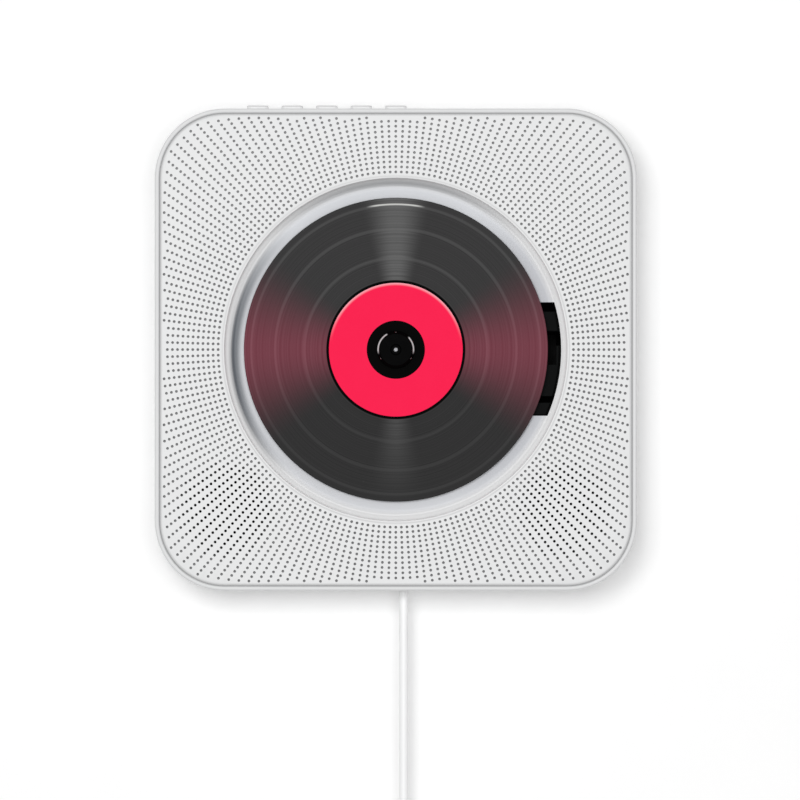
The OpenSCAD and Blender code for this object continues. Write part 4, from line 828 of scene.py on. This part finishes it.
blank = bmesh.new()
blank.from_mesh(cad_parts["front_cover"].data)
bmesh.ops.remove_doubles(blank, verts=blank.verts, dist=weld_gap)
blank_data = bpy.data.meshes.new("cover_blank")
blank.to_mesh(blank_data)
blank.free()
blank_piece = bpy.data.objects.new("cover_blank", blank_data)
scene.collection.objects.link(blank_piece)
drilling = blank_piece.modifiers.new("drilling", "BOOLEAN")
drilling.operation = "DIFFERENCE"
drilling.solver = "MANIFOLD"
drilling.object = drill_piece
drilled = settled_mesh(blank_piece)
for piece in (drill_piece, blank_piece):
    bpy.data.objects.remove(piece)
if "custom_normal" in drilled.attributes:
    drilled.attributes.remove(drilled.attributes["custom_normal"])
drilled.polygons.foreach_set("use_smooth", [True] * len(drilled.polygons))
drilled.set_sharp_from_angle(angle=math.radians(32))
drilled.materials.clear()
cover = bpy.data.objects.new("drilled_cover", drilled)
scene.collection.objects.link(cover)
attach(cover, "player")
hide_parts("front_cover")

well_rim_r = 0.0680
well_foot_r = 0.0644
well_soft_r = 0.0669
left_shade_inner_r = 0.0618
left_shade_outer_r = 0.0653
top_shade_inner_r = 0.0648
top_shade_outer_r = 0.0674
grille_inner_r = 0.0692
grille_half = 0.0922
# Depths between which the blind holes are painted dark as shade.
hole_shade_from = 0.0006 - body_d
hole_shade_to = 0.0018 - body_d
cover_white_and_shade = Finish("cover_white_and_shade")
x, y, z = cover_white_and_shade.axes()
radius = cover_white_and_shade.distance(x, z)
speck = cover_white_and_shade.noise(0.0004)
white = cover_white_and_shade.blend(cover_white_and_shade.noise(0.02, 3), *shell_whites)
# Painted shade: the blind holes' floors are dark, lighter towards the top.
painted_hole_shade = (
    y.step(hole_shade_from, 0.0003) * (1 - y.step(hole_shade_to, 0.0001))
    * radius.step(grille_inner_r, 0.0002) * (1 - abs(x).larger(abs(z)).step(grille_half, 0.0002)))
in_well = 1 - radius.step(well_rim_r, 0.0011)
across = x / radius
upward = z / radius
# Painted shade: the well's floor is grey-blue, darker towards the bottom and to the right.
painted_floor_shade = cover_white_and_shade.blend((-1 * upward).step(0.45, 0.8), (0.60, 0.615, 0.645), (0.52, 0.53, 0.555))
painted_floor_shade = cover_white_and_shade.blend((across - 0.1 * upward).step(0.62, 0.5), painted_floor_shade, (0.43, 0.44, 0.47))
well_white_and_shade = cover_white_and_shade.blend(radius.step(well_foot_r, 0.003), painted_floor_shade, (0.93, 0.93, 0.935))
leant = radius + 0.0011 * upward
left_shade = ((-1 * across).step(0.825, 0.45) * leant.step(left_shade_inner_r, 0.0030)
              * (1 - leant.step(left_shade_outer_r, 0.0022)))
top_shade = (upward.step(0.825, 0.45) * radius.step(top_shade_inner_r, 0.0012)
             * (1 - radius.step(top_shade_outer_r, 0.0026)))
# Painted shade at the well's left and top.
well_tone = cover_white_and_shade.blend(left_shade.larger(0.55 * top_shade), well_white_and_shade, (0.05, 0.06, 0.075))
well_soft = 1 - radius.step(well_soft_r, 0.0040)
# Painted shade colour for the holes, lighter towards the top.
hole_shade_tone = cover_white_and_shade.blend(z.step(0.045, 0.05), (0.16, 0.16, 0.165), (0.25, 0.25, 0.255))
face_tone = cover_white_and_shade.blend(in_well, white, well_tone)
cover_white_and_shade.shade(
    Base_Color=cover_white_and_shade.blend(painted_hole_shade, face_tone, hole_shade_tone), Roughness=0.4 + 0.1 * speck,
    Normal=cover_white_and_shade.bump(0.000012 * speck + 0.0051 * well_soft, 1))
dress(cover_white_and_shade, "drilled_cover")

# ---- Seam rib
# A thin grey rib runs all the way round in the seam between the cover and the housing's rim. It
# stands 0.6 mm below the face and closes the joint. Its grey is painted shade for the seam.
rib_inner = 0.09270
rib_outer = 0.09314
rib_top = 0.0006 - body_d
rib_foot = 0.0014 - body_d
rib_courses = []
for rib_half, rib_y in (
    (rib_inner, rib_top), (rib_outer, rib_top), (rib_outer, rib_foot), (rib_inner, rib_foot),
):
    corner = cover_corner_r + rib_half - cover_w / 2
    rib_courses.append([(px, rib_y, pz) for px, pz in rounded_loop(rib_half, rib_half, corner, 24)])
seam_rib = stacked_piece("seam_rib", rib_courses, closed=True)
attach(seam_rib, "player")
# The rib's grey is painted shade in the seam.
dress(moulding("rib_shade_grey", (0.34, 0.34, 0.345), (0.38, 0.38, 0.385), 0.5, 0.0005, 0.00001), "seam_rib")

# ---- Disc
# A pressed polycarbonate disc, printed black and grooved like a record, that is pushed onto the
# hub. Three narrow bands are left smooth. Its sheen is painted: lighter wedges up and down, a
# wine red painted sheen to the sides, a lighter upper half and a painted highlight near the rim at
# the top.
groove_pitch = 0.00045
smooth_bands = ((0.0571, 0.0010), (0.0477, 0.0011), (0.0361, 0.0011))
rim_highlight_r = 0.0574
print_inner_r = 0.02745
disc_print_and_sheen = Finish("disc_print_and_sheen")
x, z = disc_print_and_sheen.axes("XZ")
radius = disc_print_and_sheen.distance(x, z)
aside = abs(x) / radius
height = z / radius


def uneven_rings(per_metre, detail):
    """Noise from 0 to 1 that changes with the distance from the spindle only."""
    return disc_print_and_sheen.node(
        "TexNoise", {"noise_dimensions": "1D"}, {"W": radius * per_metre, "Scale": 1, "Detail": detail})


fine_rings = uneven_rings(2600, 3)
broad_rings = uneven_rings(1150, 1)
# Painted sheen: lighter wedges up and down the disc.
painted_sheen_up = (1 - aside.step(0.135, 0.23)) * height.step(0.3, 0.3)
painted_sheen_down = (1 - aside.step(0.12, 0.24)) * (1 - height.step(-0.3, 0.3)) * (0.70 - 11.5 * radius)
# Painted reflection: a wine red sheen to the left and right.
side = 1 - abs(height).step(0.32, 0.62)
# Painted light: the upper half is lighter.
painted_top_light = height.step(0, 0.5)
ribbed = 0.45 + 1.1 * broad_rings
vinyl_and_top_light = disc_print_and_sheen.blend(
    painted_top_light, disc_print_and_sheen.blend(fine_rings, (0.0125, 0.0125, 0.0125), (0.043, 0.0425, 0.043)),
    disc_print_and_sheen.blend(fine_rings, (0.020, 0.020, 0.020), (0.057, 0.056, 0.057)))
wine_sheen = disc_print_and_sheen.blend(broad_rings, (0.150, 0.030, 0.046), (0.215, 0.066, 0.088))
red_sheen_tinted = disc_print_and_sheen.blend(0.95 * side, vinyl_and_top_light, wine_sheen)
lit = disc_print_and_sheen.blend((0.85 * painted_sheen_up + painted_sheen_down) * ribbed, red_sheen_tinted, (0.125, 0.125, 0.125))
bands = sum(radius.band(middle, width, 0.0008) for middle, width in smooth_bands)
# Painted reflection on the smooth bands: lighter at the top, reddish to the sides.
band_sheen = disc_print_and_sheen.blend(painted_top_light, (0.11, 0.11, 0.11), (0.21, 0.21, 0.21))
banded = disc_print_and_sheen.blend(0.16 * bands, lit, disc_print_and_sheen.blend(side, band_sheen, (0.42, 0.18, 0.22)))
# Painted highlight: a pale line near the rim at the top.
painted_rim_highlight = (1 - aside.step(0.17, 0.08)) * height.step(0.3, 0.3) * radius.band(rim_highlight_r, 0.0006, 0.0004)
highlighted = disc_print_and_sheen.blend(0.9 * painted_rim_highlight, banded, (0.66, 0.66, 0.64))
plain = 1 - radius.step(print_inner_r, 0.0001)
grooves = (radius * (2 * math.pi / groove_pitch)).sine()
disc_print_and_sheen.shade(
    Base_Color=disc_print_and_sheen.blend(plain, highlighted, (0.001, 0.001, 0.001)),
    Roughness=0.50 + 0.16 * fine_rings + 0.35 * plain, Specular_IOR_Level=0.05,
    Normal=disc_print_and_sheen.bump((1 - plain) * (fine_rings + 0.25 * grooves), 0.00003))
dress(disc_print_and_sheen, "disc")

# ---- Label
# The bright red middle of the disc is a ring of printed and lacquered film, stuck on round the
# disc's hole. A painted highlight lies along its outer edge at the top.
painted_glint_r = 0.0257
painted_glint_z = 0.010
label_red = Finish("label_red")
x, z = label_red.axes("XZ")
# Painted highlight along the label's outer edge at the top.
painted_glint = label_red.distance(x, z).step(painted_glint_r, 0.0012) * z.step(painted_glint_z, 0.016)
lacquer = label_red.noise(0.0006)
red = label_red.blend(label_red.noise(0.01, 3), (0.98, 0.006, 0.070), (1.0, 0.010, 0.078))
label_red.shade(
    Base_Color=label_red.blend(0.5 * painted_glint, red, (1.0, 0.72, 0.78)), Roughness=0.54 + 0.08 * lacquer,
    Specular_IOR_Level=0.10, Normal=label_red.bump(lacquer, 0.000006))
dress(label_red, "disc_label")
